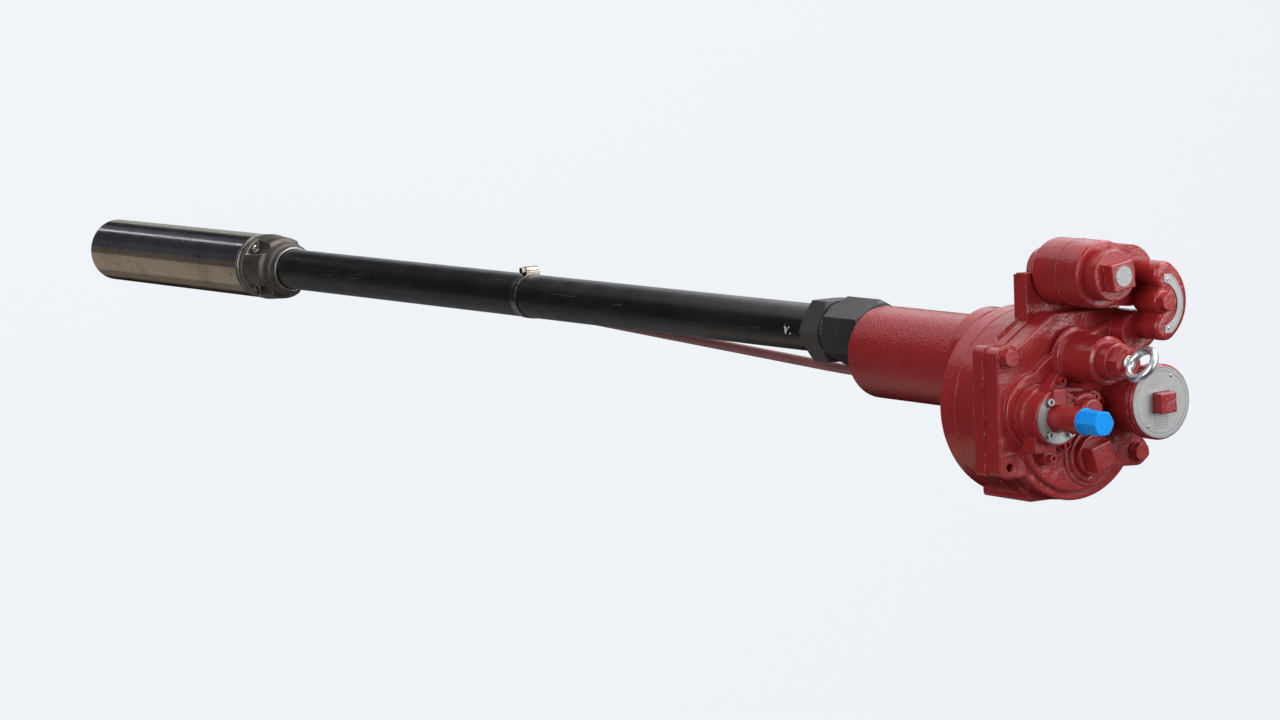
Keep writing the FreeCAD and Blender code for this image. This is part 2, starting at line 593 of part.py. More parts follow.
def element_screws():
    base = element_base()
    shelf = base + ELEMENT_FLANGE_THICK
    screws = [socket_screw(axis, shelf, 5.0, 6.0, 3.0, ELEMENT_FLANGE_THICK) for axis in ELEMENT_SCREWS]
    valve_ear = shelf + SIDE_VALVE_HEIGHT - EAR_DROP
    for axis in ELEMENT_EARS:
        head = cylinder(5.0, valve_ear, valve_ear + 6, axis)
        screws.append(head.cut(polygon_bar(6, 5.0, valve_ear + 3, valve_ear + 7, axis)))
    return Part.makeCompound(screws)


def ring_plate():
    """Bare silver ring round the stem, cut away where the lug stands on the element."""
    z = element_top()
    plate = tube(RING_PLATE_RADIUS, RING_PLATE_BORE, z, z + RING_PLATE_THICK, ELEMENT_AXIS)
    return plate.cut([block((-10, 30), (-75, -20), (z - 1, z + 3)),
                      block((20, 50), (-46, 0), (z - 1, z + 3))])


def ring_screw_places():
    places = []
    for angle in (-145.0, -40.0, 40.0):
        turn = math.radians(angle)
        places.append((ELEMENT_AXIS[0] + RING_SCREW_CIRCLE * math.cos(turn),
                       ELEMENT_AXIS[1] + RING_SCREW_CIRCLE * math.sin(turn)))
    return places


def ring_screws():
    z = element_top()
    heads = []
    for axis in ring_screw_places():
        head = cylinder(4.5, z + RING_PLATE_THICK, z + RING_PLATE_THICK + 5, axis)
        heads.append(head.cut(polygon_bar(6, 4.4, z + 3.5, z + 7, axis)))
    return Part.makeCompound(heads)


def relief_poppet():
    z = RELIEF_SEAT_Z
    profile = [(0, z + 0.3), (4.6, z + 0.3), (8.2, z + 3), (8.2, z + 6), (4, z + 6), (4, z + 12), (0, z + 12)]
    return turned(profile, ELEMENT_AXIS)


def relief_spring_ends():
    foot = RELIEF_SEAT_Z + 6
    return foot, foot + RELIEF_SPRING_TOP


def coil_spring(axis, z0, z1, radius, wire, turns):
    """Compression spring with its wire's outline between z0 and z1."""
    pitch = (z1 - z0 - 2 * wire) / turns
    helix = Part.makeHelix(pitch, z1 - z0 - 2 * wire, radius)
    helix.translate(at(axis, z0 + wire))
    start = Vector(axis[0] + radius, axis[1], z0 + wire)
    circle = Part.Wire(Part.makeCircle(wire, start, Vector(0, 1, 0)))
    return Part.Wire(helix).makePipeShell([circle], True, True)


def relief_spring():
    foot, top = relief_spring_ends()
    return coil_spring(ELEMENT_AXIS, foot, top, 6.2, 0.9, 5)


def relief_seal():
    """Ring round the relief screw, which the screw carries up with it."""
    z = STEM_TOP - 8
    return tube(STEM_BORE - 0.3, 6.0 + SLIDE_GAP, z - 3, z, ELEMENT_AXIS)


def relief_screw():
    """Screw that presses on the relief spring, with the shoulder that carries the cap."""
    foot, top = relief_spring_ends()
    z = STEM_TOP
    profile = [(0, top), (8.6, top), (8.6, z - 11), (6.0, z - 11), (6.0, z - 8), (8.6, z - 8),
               (8.6, z + 0.5), (9.5, z + 0.5), (9.5, z + 24), (0, z + 24)]
    return turned(profile, ELEMENT_AXIS)


def blue_cap():
    z0 = STEM_TOP + 0.5
    z1 = STEM_TOP + BLUE_CAP_HEIGHT
    bar = polygon_bar(6, BLUE_CAP_AF, z0, z1, ELEMENT_AXIS, 90)
    bar = chamfered_bar(bar, ELEMENT_AXIS, z0, z1, BLUE_CAP_AF / 2 - 0.2, 1.4, ("top",))
    skirt = cylinder(STEM_RADIUS, z0, z0 + BLUE_CAP_SKIRT, ELEMENT_AXIS)
    return joined([bar, skirt]).cut(cylinder(9.5, z0 - 1, STEM_TOP + 24, ELEMENT_AXIS))


def port_plug_seat():
    return PLATE_TOP + PLATEAU_HEIGHT + 2 * PORT_RING_STEP - 2


def port_plug_seal():
    z = port_plug_seat()
    return tube(PORT_PLUG_COLLAR - 1, PORT_PLUG_THREAD + SLIDE_GAP, z, z + 1.5, PORT_PLUG_AXIS)


def square_plug(axis, seat, collar, collar_height, square, square_height, turn, thread, depth):
    """Square-head plug: collar on its seat, square above it and plain thread core below."""
    shoulder = seat + collar_height
    top = shoulder + square_height
    disc = rounded_at(cylinder(collar, seat, shoulder, axis), shoulder, 1.5)
    bar = polygon_bar(4, square, shoulder - 1, top, axis, 45 + turn)
    bar = bar.makeFillet(1.5, [e for e in bar.Edges if e.BoundBox.ZMax > top - 0.1
                               or e.BoundBox.ZLength > 1])
    core = cylinder(thread, seat - depth, seat + 1, axis)
    return joined([disc, bar, core])


def port_plug():
    seat = port_plug_seat() + 1.5
    return square_plug(PORT_PLUG_AXIS, seat, PORT_PLUG_COLLAR, PORT_PLUG_COLLAR_HEIGHT, PORT_PLUG_SQUARE,
                       PORT_PLUG_SQUARE_HEIGHT, PORT_PLUG_TURN, PORT_PLUG_THREAD, PORT_PLUG_THREAD_DEPTH)


def tower_plug():
    z = TOWER_TOP
    collar = cylinder(TOWER_COLLAR_RADIUS, z, z + TOWER_COLLAR_HEIGHT, COLUMN_AXIS)
    collar = rounded_at(collar, z + TOWER_COLLAR_HEIGHT, 2.0)
    top = z + TOWER_COLLAR_HEIGHT + TOWER_HEX_HEIGHT
    bar = polygon_bar(6, TOWER_HEX_AF, z + TOWER_COLLAR_HEIGHT - 1, top, COLUMN_AXIS, 20)
    bar = chamfered_bar(bar, COLUMN_AXIS, z, top, TOWER_HEX_AF / 2 + 0.2, 1.8, ("top",))
    core = cylinder(TOWER_PLUG_THREAD_RADIUS, z - TOWER_PLUG_DEPTH, z + 1, COLUMN_AXIS)
    body = joined([collar, bar, core])
    return body.cut(cylinder(EYE_SHANK_RADIUS, top - EYE_SHANK_DEPTH, top + 1, COLUMN_AXIS))


def tower_plug_top():
    return TOWER_TOP + TOWER_COLLAR_HEIGHT + TOWER_HEX_HEIGHT


def eye_bolt():
    seat = tower_plug_top()
    centre = seat + EYE_COLLAR_HEIGHT - 1 + EYE_RING_RADIUS + EYE_WIRE_RADIUS - 2
    turn = math.radians(EYE_TURN_DEG)
    normal = Vector(-math.sin(turn), math.cos(turn), 0)
    ring = Part.makeTorus(EYE_RING_RADIUS, EYE_WIRE_RADIUS, at(COLUMN_AXIS, centre), normal)
    collar = cylinder(EYE_COLLAR_RADIUS, seat, seat + EYE_COLLAR_HEIGHT, COLUMN_AXIS)
    shank = cylinder(EYE_SHANK_RADIUS - SLIDE_GAP, seat - EYE_SHANK_DEPTH, seat + 4, COLUMN_AXIS)
    return ring.fuse([collar, shank])


def check_cover_seat():
    return BARREL_TOP + COVER_SEAL_THICK


def cover_seal():
    return tube(BARREL_RADIUS - 1, BARREL_BORE + 1, BARREL_TOP, check_cover_seat(), BARREL_AXIS)


def check_cover():
    seat = check_cover_seat()
    top = seat + COVER_THICK
    groove = seat + COVER_THICK * 0.45
    core = BARREL_BORE - FREE_GAP
    profile = [(0, seat), (core - 6, seat), (core - 6, seat - COVER_THREAD_DEPTH),
               (core, seat - COVER_THREAD_DEPTH), (core, seat), (COVER_RADIUS - 1, seat),
               (COVER_RADIUS, seat + 1), (COVER_RADIUS, groove), (COVER_RADIUS - COVER_GROOVE, groove + 1),
               (COVER_RADIUS - COVER_GROOVE, groove + 3), (COVER_RADIUS, groove + 4), (COVER_RADIUS, top - 2),
               (COVER_RADIUS - 2, top), (0, top)]
    disc = turned(profile, BARREL_AXIS)
    boss = polygon_bar(4, COVER_SQUARE, top - 1, top + COVER_SQUARE_HEIGHT, BARREL_AXIS, 47)
    boss = boss.makeFillet(1.5, [e for e in boss.Edges if e.BoundBox.ZMax > top + COVER_SQUARE_HEIGHT - 0.1
                                 or e.BoundBox.ZLength > 1])
    guide = cylinder(9, seat - 10, seat + 1, BARREL_AXIS)
    body = joined([disc, boss, guide])
    return body.cut(cylinder(VALVE_STEM_RADIUS + SLIDE_GAP, seat - 11, top + 4, BARREL_AXIS))


def cover_plate():
    """Bare round silver plate on the cover, with a square hole for the boss."""
    z = check_cover_seat() + COVER_THICK
    plate = cylinder(COVER_PLATE_RADIUS, z, z + PLATE_THICK, BARREL_AXIS)
    return plate.cut(polygon_bar(4, COVER_SQUARE + 1, z - 1, z + 2, BARREL_AXIS, 47))


def check_poppet():
    z = VALVE_SEAT_Z
    rim = z + VALVE_RIM
    back = rim + VALVE_DISC_THICK
    profile = [(0, z - 0.5), (18.5, z - 0.5), (VALVE_DISC_RADIUS, rim), (VALVE_DISC_RADIUS, back),
               (10, back), (8, z + 11), (VALVE_STEM_RADIUS, z + 13), (VALVE_STEM_RADIUS, check_cover_seat() + 1),
               (0, check_cover_seat() + 1)]
    return turned(profile, BARREL_AXIS)


def check_spring():
    foot = VALVE_SEAT_Z + VALVE_RIM + VALVE_DISC_THICK
    return coil_spring(BARREL_AXIS, foot + 0.1, check_cover_seat() - 0.1, 14.0, 1.5, 5)


def box_plug_seal():
    return tube(BOX_PLUG_COLLAR - 1, BOX_BORE + 1, BOX_TOP, BOX_TOP + 1.5, BOX_AXIS)


def box_plug_seat():
    return BOX_TOP + 1.5


def box_plug():
    return square_plug(BOX_AXIS, box_plug_seat(), BOX_PLUG_COLLAR, BOX_PLUG_COLLAR_HEIGHT, BOX_PLUG_SQUARE,
                       BOX_PLUG_SQUARE_HEIGHT, BOX_PLUG_TURN, BOX_BORE - FREE_GAP, BOX_PLUG_THREAD_DEPTH)


def box_plug_plate():
    z = box_plug_seat() + BOX_PLUG_COLLAR_HEIGHT + BOX_PLUG_SQUARE_HEIGHT
    return cylinder(BOX_LABEL_RADIUS, z, z + 0.8, BOX_AXIS)


def yoke_outline(z0, z1, shrink=0.0):
    """D-shaped casting: two lobes over the sockets, with a waist at the bolt's boss."""
    disc = cylinder(YOKE_RADIUS - shrink, z0, z1, YOKE_CENTRE)
    x, y = YOKE_CENTRE
    edge = y + 6
    disc = disc.common(block((x - 60, x + 60), (edge + shrink, y + 60), (z0, z1)))
    lobes = []
    for side in (-1, 1):
        place = (x + side * 30.0, edge + 14)
        lobes.append(cylinder(YOKE_LOBE_RADIUS - shrink, z0, z1, place))
    waists = [cylinder(7.0 + shrink, z0 - 1, z1 + 1, (x + side * 17.0, edge - 1)) for side in (-1, 1)]
    return joined([disc] + lobes).cut(waists)


def yoke():
    z1 = YOKE_Z0 + YOKE_THICK
    body = rounded_at(yoke_outline(YOKE_Z0, z1), z1, YOKE_EDGE_ROUND)
    boss = cylinder(YOKE_BOLT_BOSS - 2, z1 - 1, z1 + 2, YOKE_BOLT_AXIS)
    body = joined([body, boss])
    return body.cut(cylinder(YOKE_BOLT_RADIUS + SLIDE_GAP, YOKE_Z0 - 1, z1 + 3, YOKE_BOLT_AXIS))


def yoke_plate():
    """C-shaped silver plate along the yoke's round side."""
    z = YOKE_Z0 + YOKE_THICK
    x, y = YOKE_PLATE_CENTRE
    plate = cylinder(YOKE_PLATE_RADIUS, z, z + PLATE_THICK, YOKE_PLATE_CENTRE)
    window = block((x - YOKE_PLATE_HALF, x + YOKE_PLATE_HALF), (y + 15, y + 60), (z - 1, z + 2))
    plate = plate.common(window)
    return plate.cut(cylinder(YOKE_PLATE_BORE, z - 1, z + 2, (x, y + 7)))


def yoke_bolt():
    z = YOKE_Z0 + YOKE_THICK + 2
    head = polygon_bar(6, YOKE_BOLT_AF, z, z + YOKE_BOLT_HEAD, YOKE_BOLT_AXIS, 0)
    head = chamfered_bar(head, YOKE_BOLT_AXIS, z, z + YOKE_BOLT_HEAD, YOKE_BOLT_AF / 2, 1.2, ("top",))
    shank = cylinder(YOKE_BOLT_RADIUS, YOKE_Z0 - 20, z + 1, YOKE_BOLT_AXIS)
    return joined([head, shank])


def connector_plugs():
    """Electrical plugs under the yoke, one into each socket."""
    z = YOKE_Z0
    return Part.makeCompound([cylinder(CONNECTOR_RADIUS, z - 16, z, axis)
                              for axis in (UPPER_SOCKET_AXIS, LOWER_SOCKET_AXIS)])


def connector_sockets():
    """Insulating blocks in the floors of the two sockets, with their contact holes."""
    floor = YOKE_Z0 - SOCKET_DEPTH
    blocks = []
    for axis in (UPPER_SOCKET_AXIS, LOWER_SOCKET_AXIS):
        piece = cylinder(SOCKET_RADIUS, floor, floor + 8, axis)
        holes = []
        for i in range(3):
            angle = 2 * math.pi * i / 3
            place = (axis[0] + 5 * math.cos(angle), axis[1] + 5 * math.sin(angle))
            holes.append(cylinder(1.5, floor + 3, floor + 9, place))
        blocks.append(piece.cut(holes))
    return Part.makeCompound(blocks)


def riser_pipe():
    pipe = joined([cylinder(RISER_OD / 2, 0, DRUM_Z - HUB_HEIGHT, RISER_AXIS),
                   cylinder(RISER_THREAD_RADIUS, DRUM_Z - HUB_HEIGHT - 1, DRUM_Z + RISER_SOCKET, RISER_AXIS)])
    return pipe.cut(cylinder(RISER_OD / 2 - RISER_WALL, -1, DRUM_Z + RISER_SOCKET + 1, RISER_AXIS))


def inner_pipe():
    top = PACKER_Z - SPIGOT_LENGTH + 30
    return tube(INNER_PIPE_OD / 2, INNER_PIPE_OD / 2 - INNER_PIPE_WALL, INNER_PIPE_FOOT, top, COLUMN_AXIS)


def upper_conduit():
    top = TOWER_TOP - TOWER_PLUG_DEPTH - 6
    return tube(CONDUIT_OD / 2, CONDUIT_OD / 2 - CONDUIT_WALL, CONDUIT_JOIN_FOOT, top, COLUMN_AXIS)


def lower_conduit():
    outer = CONDUIT_OD / 2 - CONDUIT_WALL - SLIDE_GAP
    return tube(outer, outer - 1.5, CONDUIT_FOOT, CONDUIT_JOIN_TOP, COLUMN_AXIS)


def column_pipe():
    return tube(COLUMN_OD / 2, COLUMN_OD / 2 - COLUMN_WALL, HEAD_TOP - 32, COLUMN_TOP, COLUMN_AXIS)


def lock_body():
    """Large hexagon on the column's top, with a neck above and the clamping thread below."""
    z0, z1 = LOCK_BODY_Z
    bar = polygon_bar(6, LOCK_BODY_AF, z0, z1, COLUMN_AXIS, 0)
    bar = chamfered_bar(bar, COLUMN_AXIS, z0, z1, NUT_CHAMFER_RADIUS, NUT_CHAMFER_HEIGHT, ("foot", "top"))
    neck = cylinder(LOCK_NECK_RADIUS, z1 - 1, -1.0, COLUMN_AXIS)
    thread = cylinder(LOCK_THREAD_RADIUS, LOCK_NUT_Z[0] + 14, z0 + 1, COLUMN_AXIS)
    body = joined([bar, neck, thread])
    guide = INNER_PIPE_OD / 2 + SLIDE_GAP
    set_screw = Part.makeCylinder(LOCK_SET_SCREW_RADIUS, 8, Vector(COLUMN_AXIS[0], -LOCK_BODY_AF / 2 - 1, -58),
                                  Vector(0, 1, 0))
    return body.cut([cylinder(guide, z0 - 100, 1, COLUMN_AXIS),
                     cylinder(COLUMN_OD / 2, z0 - 100, COLUMN_TOP, COLUMN_AXIS),
                     tube(guide + 4, guide - 1, -16, -11, COLUMN_AXIS), set_screw])


def lock_seal():
    guide = INNER_PIPE_OD / 2 + SLIDE_GAP
    return tube(guide + 4, guide, -16, -11, COLUMN_AXIS)


def ferrule():
    """Ring between the lock nut and the thread's end, pressed against the column."""
    z1 = LOCK_NUT_Z[0] + 14
    return tube(LOCK_THREAD_RADIUS - 0.5, COLUMN_OD / 2 + SLIDE_GAP, z1 - FERRULE_HEIGHT, z1, COLUMN_AXIS)


def lock_nut():
    z0, z1 = LOCK_NUT_Z
    bar = polygon_bar(6, LOCK_NUT_AF, z0, z1, COLUMN_AXIS, 30)
    bar = chamfered_bar(bar, COLUMN_AXIS, z0, z1, NUT_CHAMFER_RADIUS - 1, NUT_CHAMFER_HEIGHT, ("foot", "top"))
    return bar.cut([cylinder(COLUMN_OD / 2 + FREE_GAP, z0 - 1, z1, COLUMN_AXIS),
                    cylinder(LOCK_THREAD_RADIUS + FREE_GAP, z0 + 2, z1 + 1, COLUMN_AXIS)])


def tube_route():
    """Corners of the return tube's route, from its foot past the clamp to the packer."""
    top = PACKER_Z - SPIGOT_LENGTH + 38
    return [Vector(TUBE_AT_CLAMP[0], TUBE_AT_CLAMP[1], TUBE_FOOT_Z),
            Vector(TUBE_AT_CLAMP[0], TUBE_AT_CLAMP[1], TUBE_BEND_Z[0]),
            Vector(TUBE_AT_LOCK[0], TUBE_AT_LOCK[1], TUBE_BEND_Z[1]),
            Vector(TUBE_AT_LOCK[0], TUBE_AT_LOCK[1], top)]


def arc_route(corners, radius):
    """Wire of straight runs joined by tangent arcs of one radius."""
    edges = []
    start = corners[0]
    for before, corner, after in zip(corners, corners[1:], corners[2:]):
        towards = (corner - before).normalize()
        away = (after - corner).normalize()
        turn = towards.getAngle(away)
        back = radius * math.tan(turn / 2)
        first = corner - towards * back
        last = corner + away * back
        inward = (away - towards).normalize()
        middle = corner + inward * (radius / math.cos(turn / 2) - radius)
        edges.append(Part.LineSegment(start, first).toShape())
        edges.append(Part.Arc(first, middle, last).toShape())
        start = last
    edges.append(Part.LineSegment(start, corners[-1]).toShape())
    return Part.Wire(edges)


def return_tube():
    corners = tube_route()
    route = arc_route(corners, TUBE_BEND_RADIUS)
    circle = Part.Wire(Part.makeCircle(RETURN_TUBE_OD / 2, corners[0], Vector(0, 0, 1)))
    body = route.makePipeShell([circle], True, False)
    bore = cylinder(RETURN_TUBE_OD / 2 - 1, corners[0].z - 1, corners[0].z + 40, TUBE_AT_CLAMP)
    return body.cut(bore)


def clamp_loop(grow, z0, z1):
    column = (COLUMN_AXIS[0], COLUMN_AXIS[1], COLUMN_OD / 2 + grow)
    cord = (TUBE_AT_CLAMP[0], TUBE_AT_CLAMP[1], RETURN_TUBE_OD / 2 + grow)
    return hull_of_two(column, cord, z0, z1)


def clamp_band():
    z0 = CLAMP_Z - CLAMP_WIDTH / 2
    z1 = CLAMP_Z + CLAMP_WIDTH / 2
    outer = clamp_loop(FREE_GAP + CLAMP_BAND, z0, z1)
    band = outer.cut(clamp_loop(FREE_GAP, z0 - 1, z1 + 1))
    return band.removeSplitter()


def clamp_housing():
    """Worm housing on the band, opposite the return tube's side."""
    x = COLUMN_AXIS[0] - COLUMN_OD / 2 - FREE_GAP - CLAMP_BAND
    y = CLAMP_HOUSING_Y
    saddle = block((x - 3.5, x + 3), (y - 11, y + 11), (CLAMP_Z - 6, CLAMP_Z + 6))
    barrel = Part.makeCylinder(5.2, 20, Vector(x - 5, y - 10, CLAMP_Z), Vector(0, 1, 0))
    body = joined([saddle, barrel])
    inside = clamp_loop(FREE_GAP + CLAMP_BAND, CLAMP_Z - 20, CLAMP_Z + 20)
    worm = Part.makeCylinder(3.6, 22, Vector(x - 5, y - 11, CLAMP_Z), Vector(0, 1, 0))
    return body.cut([inside, worm])


def clamp_screw():
    x = COLUMN_AXIS[0] - COLUMN_OD / 2 - FREE_GAP - CLAMP_BAND
    y = CLAMP_HOUSING_Y
    worm = Part.makeCylinder(3.6, 21, Vector(x - 5, y - 11, CLAMP_Z), Vector(0, 1, 0))
    points = []
    for i in range(6):
        angle = math.radians(60 * i)
        points.append(Vector(x - 5 + 4.6 * math.cos(angle), y - 11, CLAMP_Z + 4.6 * math.sin(angle)))
    head = Part.Face(Part.makePolygon(points + points[:1])).extrude(Vector(0, -5.5, 0))
    return joined([worm, head])


def head_screw_places():
    places = []
    for i in range(4):
        angle = math.radians(45 + 90 * i)
        places.append((COLUMN_AXIS[0] + HEAD_SCREW_CIRCLE * math.cos(angle),
                       COLUMN_AXIS[1] + HEAD_SCREW_CIRCLE * math.sin(angle)))
    return places


def discharge_head():
    """Cast head of the pump unit: groove and flange, body with screw pockets, stepped neck."""
    z0 = HEAD_FOOT
    radius = SHELL_OD / 2
    spigot = radius - SHELL_WALL - SLIDE_GAP
    bore = 24.0
    profile = [(bore, z0 - 22), (spigot, z0 - 22), (spigot, z0), (radius - 0.6, z0), (radius - 0.6, z0 + 4),
               (radius - 3, z0 + 5), (radius - 3, z0 + 9), (radius + 0.4, z0 + 10), (radius + 0.4, z0 + 20),
               (radius - 1, z0 + 24), (radius - 1.5, z0 + 42), (radius - 4, z0 + 52), (43, z0 + 60),
               (42.5, z0 + 71), (39.5, z0 + 75), (38.5, z0 + 86), (34.5, z0 + 90), (33.5, HEAD_TOP),
               (COLUMN_OD / 2, HEAD_TOP), (COLUMN_OD / 2, HEAD_TOP - 32), (bore, HEAD_TOP - 32)]
    body = turned(profile, COLUMN_AXIS)
    conduit = CONDUIT_OD / 2 - CONDUIT_WALL - SLIDE_GAP
    foot = z0 - 14
    gland = tube(conduit + 4, conduit, foot, foot + 16, COLUMN_AXIS)
    arms = []
    for i in range(3):
        arm = block((conduit + 3, 25), (-2.5, 2.5), (foot, foot + 10))
        arm.rotate(Vector(0, 0, 0), Vector(0, 0, 1), 120 * i)
        arm.translate(at(COLUMN_AXIS, 0))
        arms.append(arm)
    body = joined([body, gland] + arms)
    pockets = []
    for place in head_screw_places():
        pocket = turned([(0, HEAD_SCREW_Z), (HEAD_POCKET_RADIUS - 1.5, HEAD_SCREW_Z),
                         (HEAD_POCKET_RADIUS, HEAD_SCREW_Z + 1.5), (HEAD_POCKET_RADIUS, HEAD_SCREW_Z + 14),
                         (2, HEAD_SCREW_Z + 34), (0, HEAD_SCREW_Z + 34)], place)
        pockets.append(pocket)
        pockets.append(cylinder(3.0, HEAD_SCREW_Z - 20, HEAD_SCREW_Z + 1, place))
    return body.cut(pockets)


def head_screws():
    return Part.makeCompound([socket_screw(place, HEAD_SCREW_Z, 5.0, 6.0, 3.0, 20.0)
                              for place in head_screw_places()])


def pump_shell():
    return tube(SHELL_OD / 2, SHELL_OD / 2 - SHELL_WALL, SHELL_FOOT, HEAD_FOOT, COLUMN_AXIS)


def motor_stator():
    outer = SHELL_OD / 2 - SHELL_WALL - 5
    ring = tube(outer, STATOR_BORE, STATOR_Z[0], STATOR_Z[1], COLUMN_AXIS)
    fins = []
    for i in range(4):
        fin = block((outer - 1, SHELL_OD / 2 - SHELL_WALL), (-4, 4), (STATOR_Z[0] + 10, STATOR_Z[1] - 10))
        fin.rotate(Vector(0, 0, 0), Vector(0, 0, 1), 45 + 90 * i)
        fin.translate(at(COLUMN_AXIS, 0))
        fins.append(fin)
    round_wall = cylinder(SHELL_OD / 2 - SHELL_WALL, STATOR_Z[0], STATOR_Z[1], COLUMN_AXIS)
    return joined([ring] + fins).common(round_wall)


def rotor_core():
    radius = STATOR_BORE - ROTOR_AIR_GAP
    return tube(radius, SHAFT_RADIUS, STATOR_Z[0] + 12, STATOR_Z[1] - 12, COLUMN_AXIS)


def pump_shaft():
    return cylinder(SHAFT_RADIUS, SHAFT_Z[0], SHAFT_Z[1], COLUMN_AXIS)


def bearing_places():
    return (STATOR_Z[0] - 4 - BEARING_HEIGHT, STATOR_Z[1] + 4)


def shaft_bearings():
    """Plain bearings in their spiders, below and above the motor."""
    bearings = []
    for z in bearing_places():
        ring = tube(BEARING_RADIUS, SHAFT_RADIUS + SLIDE_GAP, z, z + BEARING_HEIGHT, COLUMN_AXIS)
        bearings.append(ring)
    return Part.makeCompound(bearings)


def bearing_spiders():
    """Three-armed spiders that hold the bearings in the shell."""
    outer = SHELL_OD / 2 - SHELL_WALL
    spiders = []
    for z in bearing_places():
        ring = tube(BEARING_RADIUS + 3, BEARING_RADIUS, z, z + BEARING_HEIGHT, COLUMN_AXIS)
        arms = []
        for i in range(3):
            arm = block((BEARING_RADIUS + 2, outer + 2), (-3, 3), (z, z + BEARING_HEIGHT))
            arm.rotate(Vector(0, 0, 0), Vector(0, 0, 1), 120 * i)
            arm.translate(at(COLUMN_AXIS, 0))
            arms.append(arm)
        whole = joined([ring] + arms).common(cylinder(outer, z, z + BEARING_HEIGHT, COLUMN_AXIS))
        spiders.append(whole)
    return Part.makeCompound(spiders)


def impellers():
    """Closed impellers: hub, lower shroud and swept blades, one per stage."""
    wheels = []
    for z in STAGE_Z:
        top = z + IMPELLER_HEIGHT
        profile = [(SHAFT_RADIUS, z), (IMPELLER_RADIUS, z), (IMPELLER_RADIUS, z + 3), (15, z + 6),
                   (13, top), (SHAFT_RADIUS, top)]
        wheel = turned(profile, COLUMN_AXIS)
        blades = []
        for i in range(VANE_COUNT):
            blade = block((12, IMPELLER_RADIUS - 2), (-1.2, 1.2), (z + 1, z + 14))
            blade.rotate(Vector(12, 0, 0), Vector(0, 0, 1), -28)
            blade.rotate(Vector(0, 0, 0), Vector(0, 0, 1), 360.0 * i / VANE_COUNT)
            blade.translate(at(COLUMN_AXIS, 0))
            blades.append(blade)
        wheels.append(joined([wheel] + blades))
    return Part.makeCompound(wheels)


def diffusers():
    """Stage bowls: an outer wall with a floor between the impellers."""
    outer = SHELL_OD / 2 - SHELL_WALL
    bowls = []
    for z in STAGE_Z:
        foot = z - 6
        profile = [(12, foot), (outer, foot), (outer, foot + STAGE_HEIGHT - 0.2), (outer - 4, foot + STAGE_HEIGHT - 0.2),
                   (outer - 4, foot + 4), (12, foot + 4)]
        bowl = turned(profile, COLUMN_AXIS)
        holes = []
        for i in range(6):
            angle = math.radians(60 * i + 30)
            place = (COLUMN_AXIS[0] + 26 * math.cos(angle), COLUMN_AXIS[1] + 26 * math.sin(angle))
            holes.append(cylinder(7, foot - 1, foot + 5, place))
        bowls.append(bowl.cut(holes))
    return Part.makeCompound(bowls)


def inlet_bell():
    """Bottom end of the pump unit: a ring, a hub with the end bearing and inlet slots between arms."""
    outer = SHELL_OD / 2 - SHELL_WALL
    z0 = SHELL_FOOT + 4
    z1 = STAGE_Z[0] - 6.2
    ring = tube(outer, outer - 4, z0, z1, COLUMN_AXIS)
    hub = tube(14, SHAFT_RADIUS + SLIDE_GAP, z0 + 6, z0 + 34, COLUMN_AXIS)
    arms = []
    for i in range(6):
        arm = block((13, outer - 1), (-2.5, 2.5), (z0 + 8, z0 + 26))
        arm.rotate(Vector(0, 0, 0), Vector(0, 0, 1), 60 * i)
        arm.translate(at(COLUMN_AXIS, 0))
        arms.append(arm)
    return joined([ring, hub] + arms)


NODES = {
    "manifold_casting": manifold_casting,
    "riser_hub": riser_hub,
    "junction_box": junction_box,
    "connector_chamber": connector_chamber,
    "conduit_hub": conduit_hub,
    "riser_pipe": riser_pipe,
    "packer_casting": packer_casting,
    "valve_barrel": valve_barrel,
    "packer_bolts": packer_bolts,
    "packer_seals": packer_seals,
    "element_body": element_body,
    "element_screws": element_screws,
    "ring_plate": ring_plate,
    "ring_screws": ring_screws,
    "relief_poppet": relief_poppet,
    "relief_spring": relief_spring,
    "relief_seal": relief_seal,
    "relief_screw": relief_screw,
    "blue_cap": blue_cap,
    "port_plug_seal": port_plug_seal,
    "port_plug": port_plug,
    "tower_plug": tower_plug,
    "eye_bolt": eye_bolt,
    "cover_seal": cover_seal,
    "check_cover": check_cover,
    "cover_plate": cover_plate,
    "check_poppet": check_poppet,
    "check_spring": check_spring,
    "box_plug_seal": box_plug_seal,
    "box_plug": box_plug,
    "box_plug_plate": box_plug_plate,
    "yoke": yoke,
    "yoke_plate": yoke_plate,
    "yoke_bolt": yoke_bolt,
    "connector_plugs": connector_plugs,
    "connector_sockets": connector_sockets,
    "inner_pipe": inner_pipe,
    "upper_conduit": upper_conduit,
    "lower_conduit": lower_conduit,
    "column_pipe": column_pipe,
    "lock_body": lock_body,
    "lock_seal": lock_seal,
    "ferrule": ferrule,
    "lock_nut": lock_nut,
    "return_tube": return_tube,
    "clamp_band": clamp_band,
    "clamp_housing": clamp_housing,
    "clamp_screw": clamp_screw,
    "discharge_head": discharge_head,
    "head_screws": head_screws,
    "pump_shell": pump_shell,
    "motor_stator": motor_stator,
    "rotor_core": rotor_core,
    "pump_shaft": pump_shaft,
    "shaft_bearings": shaft_bearings,
    "bearing_spiders": bearing_spiders,
    "impellers": impellers,
    "diffusers": diffusers,
    "inlet_bell": inlet_bell,
}

os.makedirs("parts", exist_ok=True)
for name, make in NODES.items():
    shape = make()
    shape.exportStep("parts/" + name + ".step")
    print(name, len(shape.Solids), "solids, volume", round(shape.Volume))
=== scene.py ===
# %% [markdown]
# # A submersible turbine pump, dressed for its picture
# The pump hangs in a tank: a red cast head stays above, a black column carries the flow, and a
# steel shell with the motor and the pump stages sits in the liquid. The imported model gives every
# solid in its true place and size, so this script adds finishes, fine details, light and a camera.

